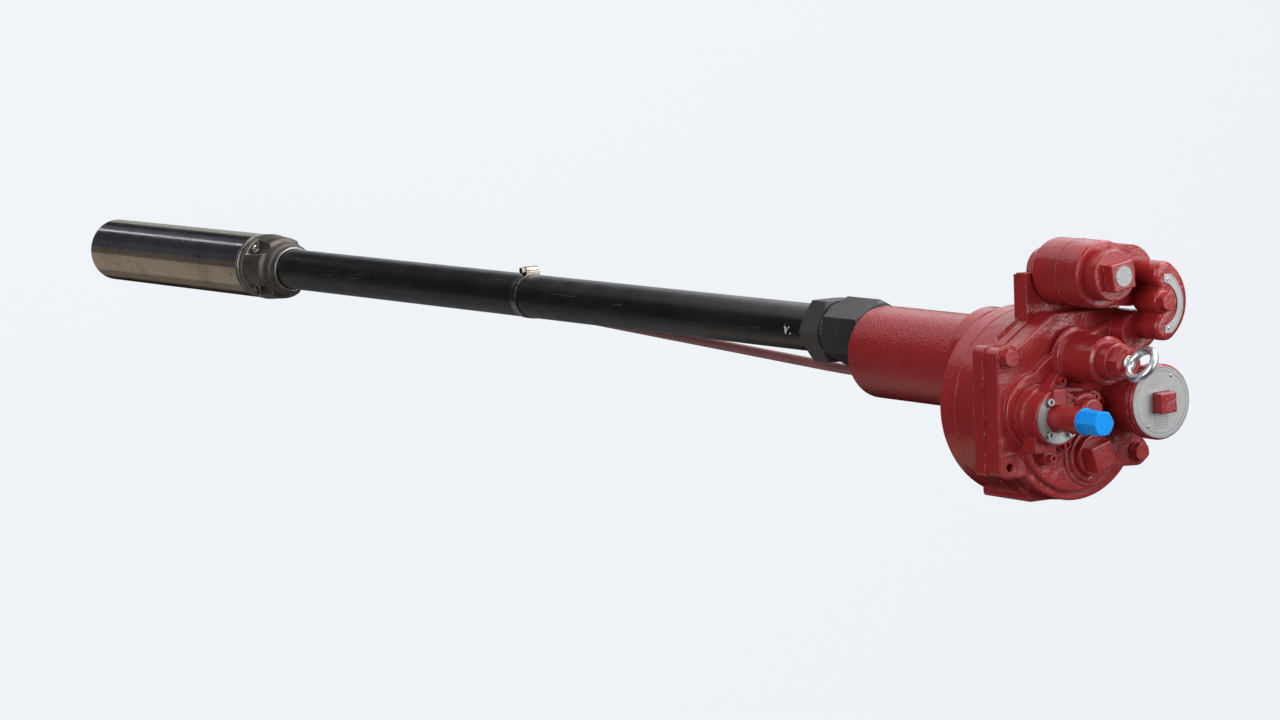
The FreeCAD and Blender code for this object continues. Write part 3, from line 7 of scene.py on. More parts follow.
# %% Frame and packages
import json
import math
import bmesh
import bpy
import numpy as np
from mathutils import Matrix, Vector


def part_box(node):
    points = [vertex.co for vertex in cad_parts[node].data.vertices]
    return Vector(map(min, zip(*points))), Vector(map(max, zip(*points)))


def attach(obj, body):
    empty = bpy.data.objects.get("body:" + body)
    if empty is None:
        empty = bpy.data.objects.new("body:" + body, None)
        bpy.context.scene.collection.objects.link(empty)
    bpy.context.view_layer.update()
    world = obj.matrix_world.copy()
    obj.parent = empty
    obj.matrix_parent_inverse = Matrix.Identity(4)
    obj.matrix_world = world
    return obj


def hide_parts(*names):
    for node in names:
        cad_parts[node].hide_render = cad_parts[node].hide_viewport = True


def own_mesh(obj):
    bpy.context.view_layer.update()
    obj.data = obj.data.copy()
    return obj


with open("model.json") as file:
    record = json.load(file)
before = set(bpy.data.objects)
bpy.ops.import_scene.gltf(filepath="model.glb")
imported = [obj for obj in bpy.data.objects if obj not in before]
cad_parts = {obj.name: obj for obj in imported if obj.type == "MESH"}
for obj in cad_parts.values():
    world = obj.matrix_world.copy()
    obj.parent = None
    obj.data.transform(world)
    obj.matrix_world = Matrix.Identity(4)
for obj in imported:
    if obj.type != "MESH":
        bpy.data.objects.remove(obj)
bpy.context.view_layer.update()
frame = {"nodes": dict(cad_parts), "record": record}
NODES = frame["nodes"]
MM = 0.001

# %% [markdown]
# ## The camera
# The photograph looks down on the head from a long way off with a long lens. Its place and its
# three axes were found from edges with known directions, and they are written here as they are.

# %% Camera
CAMERA_PLACE = Vector((-0.5931, -3.2454, 4.4801))
CAMERA_RIGHT = Vector((0.034533, 0.838257, 0.544182))
CAMERA_UP = Vector((-0.993692, 0.086937, -0.070858))
CAMERA_BACK = Vector((-0.106706, -0.538300, 0.835970))
CAMERA_LENS = 126.56

camera_data = bpy.data.cameras.new("camera")
camera_data.lens = CAMERA_LENS
camera_data.sensor_width = 36.0
camera_data.clip_end = 100.0
camera = bpy.data.objects.new("camera", camera_data)
axes = Matrix((CAMERA_RIGHT, CAMERA_UP, CAMERA_BACK)).transposed()
camera.matrix_world = Matrix.Translation(CAMERA_PLACE) @ axes.to_4x4()
bpy.context.scene.collection.objects.link(camera)
bpy.context.scene.camera = camera
print("camera lens", CAMERA_LENS)

# %% [markdown]
# ## Colours and nodes
# A colour is written as the hex value that the eye reads on a screen. The shader works in linear
# light, so one function turns it. One more adds a node with its settings and its links.

# %% Colour and node helpers
def linear(code):
    """sRGB hex to linear: v / 12.92 below 0.04045, and ((v + 0.055) / 1.055) to the power 2.4 above."""
    values = [int(code[i:i + 2], 16) / 255 for i in (1, 3, 5)]
    return [v / 12.92 if v < 0.04045 else ((v + 0.055) / 1.055) ** 2.4 for v in values] + [1.0]


def add(tree, kind, out=0, **given):
    """Adds a node and returns its output `out`. A name that the node has as a property sets it. Any
    other name is an input, by number after "in" or with underscores for spaces: a socket is joined to
    it, and anything else becomes its value."""
    node = tree.nodes.new(kind)
    for name, value in given.items():
        if name[:2] == "in" and name[2:].isdigit():
            socket = node.inputs[int(name[2:])]
        elif hasattr(node, name):
            setattr(node, name, value)
            continue
        else:
            socket = node.inputs[name.replace("_", " ")]
        if isinstance(value, bpy.types.NodeSocket):
            tree.links.new(value, socket)
        else:
            socket.default_value = value
    return node.outputs[out] if node.outputs else node


def start_material(name):
    """An empty node material, its tree and the object coordinates that its patterns read."""
    material = bpy.data.materials.new(name)
    material.use_nodes = True
    material.node_tree.nodes.clear()
    tree = material.node_tree
    return material, tree, add(tree, "ShaderNodeTexCoord", "Object")


# %% [markdown]
# ## Three layers that every finish uses
# A real surface is never one colour. Clouds of another tone lie over it, its edges are rounded
# and rubbed, and its skin has a relief. Each of these is a small group of nodes, so each is one
# function, and a finish is then written as a few layers with their real sizes in millimetres.

# %% Layers
EVEN = (1.0, 1.0, 1.0)     # no stretch


def cloud(tree, place, size_mm, low, high, share=1.0, detail=3.0, stretch=EVEN):
    """A soft mask: cloudy noise with blobs of size_mm, raised smoothly from 0 at low to share at high.
    stretch squeezes the place along an axis, which draws the blobs out along it."""
    drawn = add(tree, "ShaderNodeVectorMath", operation="MULTIPLY", in0=place, in1=stretch)
    noise = add(tree, "ShaderNodeTexNoise", "Fac", Vector=drawn, Scale=1.0 / (size_mm * MM),
                Detail=detail, Roughness=0.6)
    return add(tree, "ShaderNodeMapRange", interpolation_type="SMOOTHSTEP", Value=noise,
               From_Min=low, From_Max=high, To_Min=0.0, To_Max=share)


def laid_over(tree, mask, below, code):
    """The colour below, covered by the colour of the hex code where the mask is 1."""
    return add(tree, "ShaderNodeMix", 2, data_type="RGBA", in0=mask, in6=below, in7=linear(code))


def rounded_edges(tree, radius_mm, low=0.01, high=0.16):
    """(normal, mask): the normal that a rounding of radius_mm gives, and a mask of the rounded strip.
    The mask is one less the cosine between the rounded and the true normal, raised from low to high."""
    normal = add(tree, "ShaderNodeBevel", samples=4, Radius=radius_mm * MM)
    true = add(tree, "ShaderNodeNewGeometry", "Normal")
    cosine = add(tree, "ShaderNodeVectorMath", "Value", operation="DOT_PRODUCT", in0=normal, in1=true)
    mask = add(tree, "ShaderNodeMapRange", Value=cosine, From_Min=1.0 - low, From_Max=1.0 - high)
    return normal, mask


def shared(tree, first, *others):
    """The part that all the masks share: their product."""
    for other in others:
        first = add(tree, "ShaderNodeMath", operation="MULTIPLY", in0=first, in1=other)
    return first


def end_material(tree, height, depth_mm, strength, normal, **shader):
    """Ends a material: the height raises the rounded normal by depth_mm, and the shader takes the
    rest."""
    relief = add(tree, "ShaderNodeBump", Strength=strength, Distance=depth_mm * MM, Height=height,
                 Normal=normal)
    surface = add(tree, "ShaderNodeBsdfPrincipled", Normal=relief, **shader)
    add(tree, "ShaderNodeOutputMaterial", Surface=surface)


# %% [markdown]
# ## Enamel on sand-cast iron
# The head is grey iron from sand moulds under one thick coat of glossy brick-red enamel. The coat
# dries with a faint orange peel of 4 mm waves, runs thin and paler on edges, chips there to the
# primer in small spots, and is deeper in clouds. The paler colour on the edges is partly rubbed
# paint and partly a painted highlight along them. One function makes it, because pipes and
# machined parts wear the same paint over a smoother ground.

# %% Enamel
ENAMEL_ROUGHNESS = 0.17


def enamel(name, peel_mm=4.0, peel=0.16, edge_mm=1.9, wear_and_edge_highlight=1.0, sand=0.25, uneven=0.0):
    """Glossy red enamel. peel_mm and peel are the size and the strength of the orange peel, edge_mm is
    the rounding of the edges, and the wear argument sets how much they are rubbed and chipped and how
    strong their paler colour is, which is also a painted highlight along them. sand is how far the
    sand's grit and uneven how far a casting's broad waves rise over the peel."""
    material, tree, place = start_material(name)
    normal, edge = rounded_edges(tree, edge_mm)
    colour = laid_over(tree, cloud(tree, place, 95.0, 0.45, 0.75, 0.30), linear("#97282A"), "#661A1A")
    colour = laid_over(tree, cloud(tree, place, 16.0, 0.45, 0.80, 0.22), colour, "#7A1F1E")
    colour = laid_over(tree, cloud(tree, place, 34.0, 0.55, 0.80, 0.20), colour, "#A53A35")
    # The paler colour on the rounded edges is rubbed paint and also a painted highlight along them.
    rubbed = shared(tree, edge, cloud(tree, place, 20.0, 0.30, 0.70, 0.68 * wear_and_edge_highlight))
    colour = laid_over(tree, rubbed, colour, "#CB7670")
    chips = shared(tree, edge, cloud(tree, place, 4.0, 0.605, 0.645, wear_and_edge_highlight))
    colour = laid_over(tree, chips, colour, "#D9BFB4")
    dust = shared(tree, cloud(tree, place, 3.0, 0.74, 0.78, 0.50, 1.0),
                  cloud(tree, place, 60.0, 0.52, 0.62))
    colour = laid_over(tree, dust, colour, "#CDA79F")
    rough = cloud(tree, place, 24.0, 0.30, 0.80, 0.12)
    rough = add(tree, "ShaderNodeMath", operation="ADD", in0=rough, in1=ENAMEL_ROUGHNESS)
    rough = add(tree, "ShaderNodeMath", operation="MULTIPLY_ADD", in0=chips, in1=0.3, in2=rough)
    skin = cloud(tree, place, peel_mm, 0.2, 0.8, 1.0, 1.0)
    grit = cloud(tree, place, 1.7, 0.2, 0.8, sand, 2.0)
    height = add(tree, "ShaderNodeMath", operation="ADD", in0=skin, in1=grit)
    height = add(tree, "ShaderNodeMath", operation="MULTIPLY_ADD", in0=chips, in1=-0.7, in2=height)
    waves = cloud(tree, place, 26.0, 0.2, 0.8, uneven, 1.0)
    height = add(tree, "ShaderNodeMath", operation="ADD", in0=height, in1=waves)
    end_material(tree, height, 0.9, peel, normal, Base_Color=colour, Roughness=rough, IOR=1.5)
    return material


cast_enamel = enamel("brick_red_enamel_on_sand_cast_iron", uneven=5.0)
pipe_enamel = enamel("brick_red_enamel_on_steel_pipe", peel_mm=3.4, peel=0.36, edge_mm=1.2, wear_and_edge_highlight=0.7,
                     sand=0.4)
fine_enamel = enamel("brick_red_enamel_on_machined_parts", peel_mm=3.0, peel=0.12, edge_mm=1.0, wear_and_edge_highlight=0.7,
                     sand=0.1)
print("enamels", cast_enamel.name, pipe_enamel.name, fine_enamel.name)

# %% [markdown]
# ## Thin paint on the column
# The column is drawn steel pipe with thin satin-black paint. Handling leaves long faint scratches
# along it, and a few white chips where the lock nut was tightened. The lock's two hexagons wear a
# duller charcoal paint with rubbed corners, and the return tube a thin, faded red.

# %% Thin paint
CHIPS_AT = (-0.018, -0.030, -0.169)     # beside the lock nut, where a wrench slipped
CHIPS_MM = 13.0


def thin_paint(name, base, rub, gloss, hair_share, edge_mm=1.2, chips_at=None):
    """Thin paint on drawn steel: clouds of rub, scratches drawn out along Z, worn edges, and white chips
    that thin out to none at CHIPS_MM from the point chips_at. gloss is the least roughness."""
    material, tree, place = start_material(name)
    normal, edge = rounded_edges(tree, edge_mm)
    colour = laid_over(tree, cloud(tree, place, 45.0, 0.40, 0.80, 0.6), linear(base), rub)
    hair = shared(tree, cloud(tree, place, 2.4, 0.66, 0.72, hair_share, 2.0, (1.0, 1.0, 0.02)),
                  cloud(tree, place, 80.0, 0.46, 0.62))
    colour = laid_over(tree, hair, colour, "#7B7D7F")
    worn = shared(tree, edge, cloud(tree, place, 6.0, 0.50, 0.62, 0.55))
    colour = laid_over(tree, worn, colour, "#8C8B88")
    if chips_at:
        reach = add(tree, "ShaderNodeVectorMath", "Value", operation="DISTANCE", in0=place, in1=chips_at)
        near = add(tree, "ShaderNodeMapRange", Value=reach, From_Min=CHIPS_MM * MM,
                   From_Max=CHIPS_MM * MM / 3)
        flakes = shared(tree, near, cloud(tree, place, 5.0, 0.40, 0.70, 1.0, 3.0))
        chips = add(tree, "ShaderNodeMath", operation="GREATER_THAN", in0=flakes, in1=0.42)
        colour = laid_over(tree, chips, colour, "#D8DADA")
    rough = add(tree, "ShaderNodeMath", operation="ADD", in0=cloud(tree, place, 40.0, 0.3, 0.8, 0.12),
                in1=gloss)
    fine = cloud(tree, place, 2.2, 0.2, 0.8, 0.5, 2.0)
    height = add(tree, "ShaderNodeMath", operation="SUBTRACT", in0=fine, in1=hair)
    end_material(tree, height, 0.4, 0.14, normal, Base_Color=colour, Roughness=rough, IOR=1.5)
    return material


column_paint = thin_paint("satin_black_paint_on_drawn_pipe", "#1A1A1B", "#2A2A2A", 0.27, 0.6,
                          chips_at=CHIPS_AT)
nut_paint = thin_paint("charcoal_paint_on_hexagon_bar", "#2C2D2F", "#3D3E40", 0.40, 0.2, edge_mm=1.6)
tube_paint = thin_paint("thin_faded_red_paint_on_tube", "#97605F", "#87504F", 0.34, 0.4)
print("paints", column_paint.name, nut_paint.name, tube_paint.name)

# %% [markdown]
# ## Rolled stainless shell
# The shell is bright rolled sheet. Rolling leaves faint lines along it, handling leaves thin pale
# scratches, and fuel has dried on it in brownish stains. A low roughness keeps the long dark and
# light bands of the room sharp, which is what makes it look like polished steel.

# %% Stainless shell
stainless, tree, place = start_material("rolled_stainless_sheet")
normal = rounded_edges(tree, 0.6)[0]
colour = laid_over(tree, cloud(tree, place, 70.0, 0.40, 0.75, 0.8), linear("#C2BFB8"), "#A39C91")
lines = cloud(tree, place, 2.6, 0.40, 0.75, 1.0, 3.0, (1.0, 1.0, 0.012))
rolled = shared(tree, lines, cloud(tree, place, 50.0, 0.3, 0.8, 0.35))
colour = laid_over(tree, rolled, colour, "#8F897F")
stain = shared(tree, cloud(tree, place, 14.0, 0.60, 0.68, 0.55, 4.0),
               cloud(tree, place, 90.0, 0.50, 0.60))
colour = laid_over(tree, stain, colour, "#5D554C")
scratch = cloud(tree, place, 1.8, 0.70, 0.74, 0.8, 1.0, (1.0, 1.0, 0.03))
scratch = shared(tree, scratch, cloud(tree, place, 60.0, 0.50, 0.60))
colour = laid_over(tree, scratch, colour, "#EDEBE6")
rough = add(tree, "ShaderNodeMath", operation="MULTIPLY_ADD", in0=stain, in1=0.35,
            in2=cloud(tree, place, 40.0, 0.30, 0.80, 0.07))
rough = add(tree, "ShaderNodeMath", operation="ADD", in0=rough, in1=0.13)
end_material(tree, lines, 0.2, 0.025, normal, Base_Color=colour, Metallic=1.0, Roughness=rough)

# %% [markdown]
# ## Bare castings
# The pump's discharge head and inlet bell are unpainted brown-grey castings. Their skin is grainy
# from the sand, darker in clouds, and every ridge is rubbed back to bright metal.

# %% Bare casting
cast_grey, tree, place = start_material("brown_grey_bare_casting")
normal, edge = rounded_edges(tree, 3.0, 0.01, 0.10)
colour = laid_over(tree, cloud(tree, place, 25.0, 0.35, 0.75), linear("#635D56"), "#423E39")
rub = shared(tree, edge, cloud(tree, place, 9.0, 0.25, 0.55, 0.9))
colour = laid_over(tree, rub, colour, "#D8D2C8")
rough = add(tree, "ShaderNodeMath", operation="MULTIPLY_ADD", in0=rub, in1=-0.12,
            in2=cloud(tree, place, 12.0, 0.30, 0.80, 0.15))
rough = add(tree, "ShaderNodeMath", operation="ADD", in0=rough, in1=0.40)
end_material(tree, cloud(tree, place, 2.4, 0.2, 0.8, 1.0, 2.0), 0.7, 0.22, normal, Base_Color=colour,
             Metallic=0.45, Roughness=rough)

# %% [markdown]
# ## Plated and machined steel
# The lifting eye is a forging under bright zinc, a little cloudy and softly rough. Screws, pipes
# inside and springs are machined steel with fine turned lines. The hose clamp is rolled band.

# %% Steels
ALONG = (1.0, 1.0, 0.05)


def machined(name, base, dull, rough, cloud_mm, line_stretch, line_share, edge_code="#DADAD6", bump=0.06,
             edge_mm=0.8):
    """A machined metal: two tones in clouds, lines drawn out by line_stretch, and bright rubbed
    edges."""
    material, tree, place = start_material(name)
    normal, edge = rounded_edges(tree, edge_mm)
    colour = laid_over(tree, cloud(tree, place, cloud_mm, 0.35, 0.75), linear(base), dull)
    lines = cloud(tree, place, 1.6, 0.42, 0.75, line_share, 3.0, line_stretch)
    colour = laid_over(tree, lines, colour, dull)
    rubbed = shared(tree, edge, cloud(tree, place, 7.0, 0.3, 0.6, 0.6))
    colour = laid_over(tree, rubbed, colour, edge_code)
    value = add(tree, "ShaderNodeMath", operation="MULTIPLY_ADD", in0=lines, in1=0.15,
                in2=cloud(tree, place, cloud_mm * 0.7, 0.3, 0.8, 0.1))
    value = add(tree, "ShaderNodeMath", operation="ADD", in0=value, in1=rough)
    end_material(tree, lines, 0.3, bump, normal, Base_Color=colour, Metallic=1.0, Roughness=value)
    return material


zinc = machined("bright_zinc_plate_on_forging", "#DDDFE1", "#B4B6B8", 0.30, 9.0, EVEN, 0.3, "#F2F2F0",
                bump=0.10, edge_mm=1.5)
steel = machined("machined_steel", "#B2B1AE", "#84827E", 0.28, 15.0, ALONG, 0.5)
band_steel = machined("rolled_band_steel", "#A9A49C", "#7C766C", 0.26, 10.0, (0.2, 0.2, 1.0), 0.3)
bronze = machined("turned_bronze", "#B58A4A", "#8A6532", 0.30, 14.0, ALONG, 0.4, "#D9B57A")
core_steel = machined("varnished_core_sheets", "#3D3735", "#26211F", 0.40, 20.0, (0.05, 0.05, 1.0), 0.8,
                      "#6B6460")
print("steels", zinc.name, steel.name, band_steel.name, bronze.name, core_steel.name)

# %% [markdown]
# ## Blank data plates
# The silver plates carry print on the real product. Here they stay blank plates of satin
# aluminium, finished as such plates are: a fine brushed grain, a thin dark border line, and an
# empty ruled field. The lines are worked out from the distance to the plate's own centre.

# %% Plates
BORDER_HALF_MM = 0.35
RULE_HALF_MM = 0.28
FIELD_MARGIN_MM = 0.2


def data_plate(name, centre_mm, borders_mm, field=None):
    """Satin aluminium with thin dark circles of the given radii round a centre. field is the corner,
    the size and the pitch in millimetres of an empty ruled box beside the centre. A rule lies where the
    distance from the corner, folded once a pitch, is small."""
    material, tree, place = start_material(name)
    centre = (centre_mm[0] * MM, centre_mm[1] * MM, 0.0)
    local = add(tree, "ShaderNodeVectorMath", operation="SUBTRACT", in0=place, in1=centre)
    flat = add(tree, "ShaderNodeVectorMath", operation="MULTIPLY", in0=local, in1=(1.0, 1.0, 0.0))
    reach = add(tree, "ShaderNodeVectorMath", "Value", operation="LENGTH", in0=flat)
    normal = rounded_edges(tree, 0.5)[0]
    brushed = cloud(tree, place, 1.3, 0.35, 0.75, 1.0, 3.0, (1.0, 0.04, 1.0))
    colour = laid_over(tree, cloud(tree, place, 26.0, 0.35, 0.75, 0.6), linear("#A9AAAB"), "#9A9B9C")
    grain = add(tree, "ShaderNodeMath", operation="MULTIPLY", in0=brushed, in1=0.25)
    colour = laid_over(tree, grain, colour, "#8E9091")
    ink = None
    for radius in borders_mm:
        line = add(tree, "ShaderNodeMath", operation="COMPARE", in0=reach, in1=radius * MM,
                   in2=BORDER_HALF_MM * MM)
        if ink is None:
            ink = line
        else:
            ink = add(tree, "ShaderNodeMath", operation="MAXIMUM", in0=ink, in1=line)
    if field:
        corner, size, pitch = field
        parts = add(tree, "ShaderNodeSeparateXYZ", "X", Vector=local).node
        inside = rules = None
        for axis in (0, 1):
            offset = add(tree, "ShaderNodeMath", operation="SUBTRACT", in0=parts.outputs[axis],
                         in1=corner[axis] * MM)
            step = add(tree, "ShaderNodeMath", operation="PINGPONG", in0=offset,
                       in1=pitch[axis] * MM / 2)
            rule = add(tree, "ShaderNodeMath", operation="LESS_THAN", in0=step, in1=RULE_HALF_MM * MM)
            half = size[axis] * MM / 2
            within = add(tree, "ShaderNodeMath", operation="COMPARE", in0=offset, in1=half,
                         in2=half + FIELD_MARGIN_MM * MM)
            if inside is None:
                inside, rules = within, rule
            else:
                inside = shared(tree, inside, within)
                rules = add(tree, "ShaderNodeMath", operation="MAXIMUM", in0=rules, in1=rule)
        ink = add(tree, "ShaderNodeMath", operation="MAXIMUM", in0=ink, in1=shared(tree, inside, rules))
    ink = shared(tree, ink, cloud(tree, place, 4.0, 0.15, 0.45, 0.75))
    colour = laid_over(tree, ink, colour, "#4E5052")
    smear = shared(tree, cloud(tree, place, 12.0, 0.55, 0.72, 0.35), cloud(tree, place, 5.0, 0.4, 0.7))
    colour = laid_over(tree, smear, colour, "#8D7B76")
    rough = add(tree, "ShaderNodeMath", operation="ADD", in0=cloud(tree, place, 18.0, 0.3, 0.8, 0.12),
                in1=0.40)
    end_material(tree, brushed, 0.2, 0.05, normal, Base_Color=colour, Metallic=0.35, Roughness=rough)
    return material


COVER_CENTRE = (35.2, 77.5)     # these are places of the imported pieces, in millimetres
YOKE_PLATE_CENTRE = (-81.0, 57.3)
BOX_CENTRE = (-119.5, 0.0)
ELEMENT_CENTRE = (43.0, -58.0)
cover_label = data_plate("blank_aluminium_data_plate_on_cover", COVER_CENTRE, (40.3, 36.6),
                         ((15.0, -11.0), (15.0, 20.0), (3.0, 20.0)))
yoke_label = data_plate("blank_aluminium_data_plate_on_yoke", YOKE_PLATE_CENTRE, (40.8, 29.0))
box_label = data_plate("blank_aluminium_data_plate_on_plug", BOX_CENTRE, (11.0,),
                       ((-7.0, -5.0), (14.0, 10.0), (14.0, 2.5)))
ring_label = data_plate("blank_aluminium_data_plate_on_element", ELEMENT_CENTRE, (29.0, 19.5))
print("plates", cover_label.name, yoke_label.name, box_label.name, ring_label.name)

# %% [markdown]
# ## Plastic and rubber
# The blue cap is one glossy moulding with pale scuffs on its corners. Seals are matt black
# rubber, and the connector bodies and the pump stages are dark moulded plastic.

# %% Plastics
def moulding(name, base, shade, rough, bump, grain_mm, edge_mm, scuff, ior=1.5):
    """A moulded plastic: soft clouds of a second tone, a fine texture and scuffed edges. A low ior makes
    its reflections weak, which keeps its colour pure."""
    material, tree, place = start_material(name)
    normal, edge = rounded_edges(tree, edge_mm)
    colour = laid_over(tree, cloud(tree, place, 18.0, 0.35, 0.80, 0.7), linear(base), shade)
    scuffed = shared(tree, edge, cloud(tree, place, 5.0, 0.3, 0.6, 0.3))
    colour = laid_over(tree, scuffed, colour, scuff)
    value = add(tree, "ShaderNodeMath", operation="ADD", in0=cloud(tree, place, 18.0, 0.3, 0.8, 0.1),
                in1=rough)
    grain = cloud(tree, place, grain_mm, 0.2, 0.8, 1.0, 2.0)
    end_material(tree, grain, 0.3, bump, normal, Base_Color=colour, Roughness=value, IOR=ior)
    return material


blue_plastic = moulding("glossy_blue_moulded_plastic", "#0090EA", "#0084DC", 0.36, 0.06, 1.6, 1.0,
                        "#64BDF4", ior=1.25)
rubber = moulding("black_nitrile_rubber", "#161616", "#232323", 0.62, 0.2, 1.5, 0.4, "#3A3A3A")
dark_plastic = moulding("black_moulded_plastic", "#1A1A1B", "#262627", 0.42, 0.15, 1.4, 0.4, "#4A4A4A")
print("plastics", blue_plastic.name, rubber.name, dark_plastic.name)

# %% [markdown]
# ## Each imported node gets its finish
# The table below names the nodes that wear each finish, and the cell prints any that wears none.

# %% Finishes
FINISH = {
    cast_enamel: ("manifold_casting", "riser_hub", "junction_box", "connector_chamber", "conduit_hub",
                  "packer_casting", "valve_barrel", "check_cover", "yoke"),
    pipe_enamel: ("riser_pipe",),
    tube_paint: ("return_tube",),
    fine_enamel: ("packer_bolts", "element_body", "element_screws", "tower_plug", "box_plug",
                  "port_plug", "yoke_bolt"),
    column_paint: ("column_pipe",),
    nut_paint: ("lock_body", "lock_nut"),
    stainless: ("pump_shell",),
    cast_grey: ("discharge_head", "inlet_bell"),
    zinc: ("eye_bolt",),
    cover_label: ("cover_plate",),
    yoke_label: ("yoke_plate",),
    box_label: ("box_plug_plate",),
    ring_label: ("ring_plate",),
    steel: ("ring_screws", "head_screws", "inner_pipe", "upper_conduit", "lower_conduit", "check_spring",
            "relief_spring", "bearing_spiders", "pump_shaft", "check_poppet", "relief_poppet",
            "relief_screw"),
    band_steel: ("clamp_band", "clamp_housing", "clamp_screw"),
    bronze: ("shaft_bearings", "ferrule"),
    core_steel: ("motor_stator", "rotor_core"),
    blue_plastic: ("blue_cap",),
    rubber: ("packer_seals", "lock_seal", "relief_seal", "cover_seal", "box_plug_seal",
             "port_plug_seal"),
    dark_plastic: ("connector_sockets", "connector_plugs", "diffusers", "impellers"),
}
for material, names in FINISH.items():
    for name in names:
        NODES[name].data.materials.clear()
        NODES[name].data.materials.append(material)
left_over = sorted(set(NODES) - {n for names in FINISH.values() for n in names})
print("nodes without a finish", left_over)

# %% [markdown]
# ## Small pieces as surfaces
# Rivets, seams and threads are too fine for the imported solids. Each is a surface on a grid: a
# profile of radius and height is carried round an axis, and whole arrays give all its points.
# The grid is closed where it meets itself, doubles are merged and faces turned outwards.

# %% Surface helper
def surface(name, grids, body, slot, material, wrap_rows=False, wrap_turns=True, caps=False,
            crease=40.0):
    """One mesh from a stack of point grids, (pieces, rows, turns, 3) in metres. Each cell is one face.
    wrap_rows joins the last row to the first, wrap_turns does so with the turns, and caps fills the
    first and the last row with one flat face each."""
    pieces, rows, turns = grids.shape[:3]
    first = np.arange(pieces * rows * turns).reshape(pieces, rows, turns)
    below = first if wrap_rows else first[:, :-1]
    above = np.roll(first, -1, axis=1) if wrap_rows else first[:, 1:]
    if wrap_turns:
        cells = (below, np.roll(below, -1, axis=2), np.roll(above, -1, axis=2), above)
    else:
        cells = (below[:, :, :-1], below[:, :, 1:], above[:, :, 1:], above[:, :, :-1])
    faces = np.stack(cells, axis=-1).reshape(-1, 4).tolist()
    if caps:
        faces += first[:, 0].tolist() + first[:, -1].tolist()
    mesh = bpy.data.meshes.new(name)
    mesh.from_pydata(grids.reshape(-1, 3).tolist(), [], faces)
    work = bmesh.new()
    work.from_mesh(mesh)
    bmesh.ops.remove_doubles(work, verts=work.verts, dist=1e-6)
    bmesh.ops.dissolve_degenerate(work, edges=work.edges, dist=1e-7)
    bmesh.ops.recalc_face_normals(work, faces=work.faces)
    work.to_mesh(mesh)
    work.free()
    mesh.shade_smooth()
    mesh.set_sharp_from_angle(angle=math.radians(crease))
    mesh.materials.append(material)
    piece = bpy.data.objects.new(name, mesh)
    bpy.context.scene.collection.objects.link(piece)
    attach(piece, body)
    print(name, len(mesh.polygons), "faces")
    return piece


def turned_grids(centres_mm, profile_mm, turns, hexed=()):
    """A stack of grids: the profile's radius and height carried round the Z axis through each centre.
    A point is the centre plus radius times (cosine, sine), at the centre's height plus the height. The
    rows in hexed are hexagons: their radius is half the flats over the cosine of the angle to a flat."""
    profile = np.asarray(profile_mm, float)
    centres = np.asarray(centres_mm, float)
    angle = np.linspace(0.0, 2 * np.pi, turns, endpoint=False)
    reach = np.repeat(profile[:, :1], turns, axis=1)
    to_flat = (angle + np.pi / 6) % (np.pi / 3) - np.pi / 6
    reach[list(hexed)] /= np.cos(to_flat)
    ring = np.stack([np.cos(angle), np.sin(angle)], axis=-1)
    flat = centres[:, None, None, :2] + reach[None, :, :, None] * ring[None, None]
    height = centres[:, None, None, 2:] + profile[None, :, None, 1:] + 0 * flat[..., :1]
    return np.concatenate([flat, height], axis=-1) * MM


# %% [markdown]
# ## Drive rivets on the plates
# Each plate is held by small round-headed rivets, with traces of red from the spray round them. A
# rivet's head is a low dome, so its profile is a quarter of an ellipse that ends in the plate.

# %% Rivets
SUNK = 0.6     # how far a fine piece reaches into its ground
rivet_steel = machined("round_headed_drive_rivets", "#C9BDB8", "#A0605A", 0.34, 2.2, EVEN, 0.4)


def rivets(name, plate, centre, offsets, body, radius=2.1, height=1.0):
    """Rivet heads on the upper face of a plate, at the offsets from its centre."""
    dome = np.linspace(0.0, np.pi / 2, 7)
    profile = np.stack([radius * np.sin(dome), height * np.cos(dome)], axis=-1)
    profile = np.concatenate([profile, [[radius, -SUNK], [0.0, -SUNK]]])
    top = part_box(plate)[1][2] / MM
    centres = [(centre[0] + x, centre[1] + y, top) for x, y in offsets]
    surface(name, turned_grids(centres, profile, 20), body, "steel", rivet_steel)


rivets("cover_plate_rivets", "cover_plate", COVER_CENTRE, ((-30.0, 15.0), (27.0, -20.0)), "cover_turn")
rivets("yoke_plate_rivets", "yoke_plate", YOKE_PLATE_CENTRE, ((-28.5, 20.0), (28.5, 20.0)), "yoke_lift",
       radius=1.9)
rivets("plug_plate_rivets", "box_plug_plate", BOX_CENTRE, ((1.5, -8.5), (-1.5, 8.5)), "box_plug_turn",
       radius=1.3, height=0.7)

# %% [markdown]
# ## The yoke's smooth casting
# The yoke that holds the cable plugs is a thick cast block with three soft lobes on its near side.
# Its rim is generously rounded, so its outline is one smooth closed curve through a few points,
# carried up straight and then drawn inwards round a quarter circle.

# %% Yoke
YOKE_CENTRE = (-84.0, 55.0)
YOKE_BOLT_CENTRE = (-84.0, 71.0)
YOKE_HALF = ((0.0, 2.2), (7.5, 4.0), (12.2, 8.6), (15.8, 11.8), (19.4, 9.0), (24.0, 5.4),
             (30.0, 4.0), (36.5, 5.4), (41.8, 9.2), (45.2, 14.6), (46.2, 20.5), (45.0, 27.0),
             (40.5, 33.4), (33.7, 40.2), (26.2, 45.5), (18.0, 49.3), (9.1, 51.7))
YOKE_BACK = (0.0, 52.5)
LOOP_STEPS = 6
YOKE_ROUND = 5.0
YOKE_STRAIGHT = 20.0     # the wall's middle row, over the foot
FOOT_ROUND = 1.2
BOSS_RISE = 2.0
BOSS_PROFILE = ((0.0, -3.0), (14.0, -3.0), (14.0, -0.6), (13.4, 0.6), (12.4, 1.6), (11.4, BOSS_RISE),
                (0.0, BOSS_RISE))


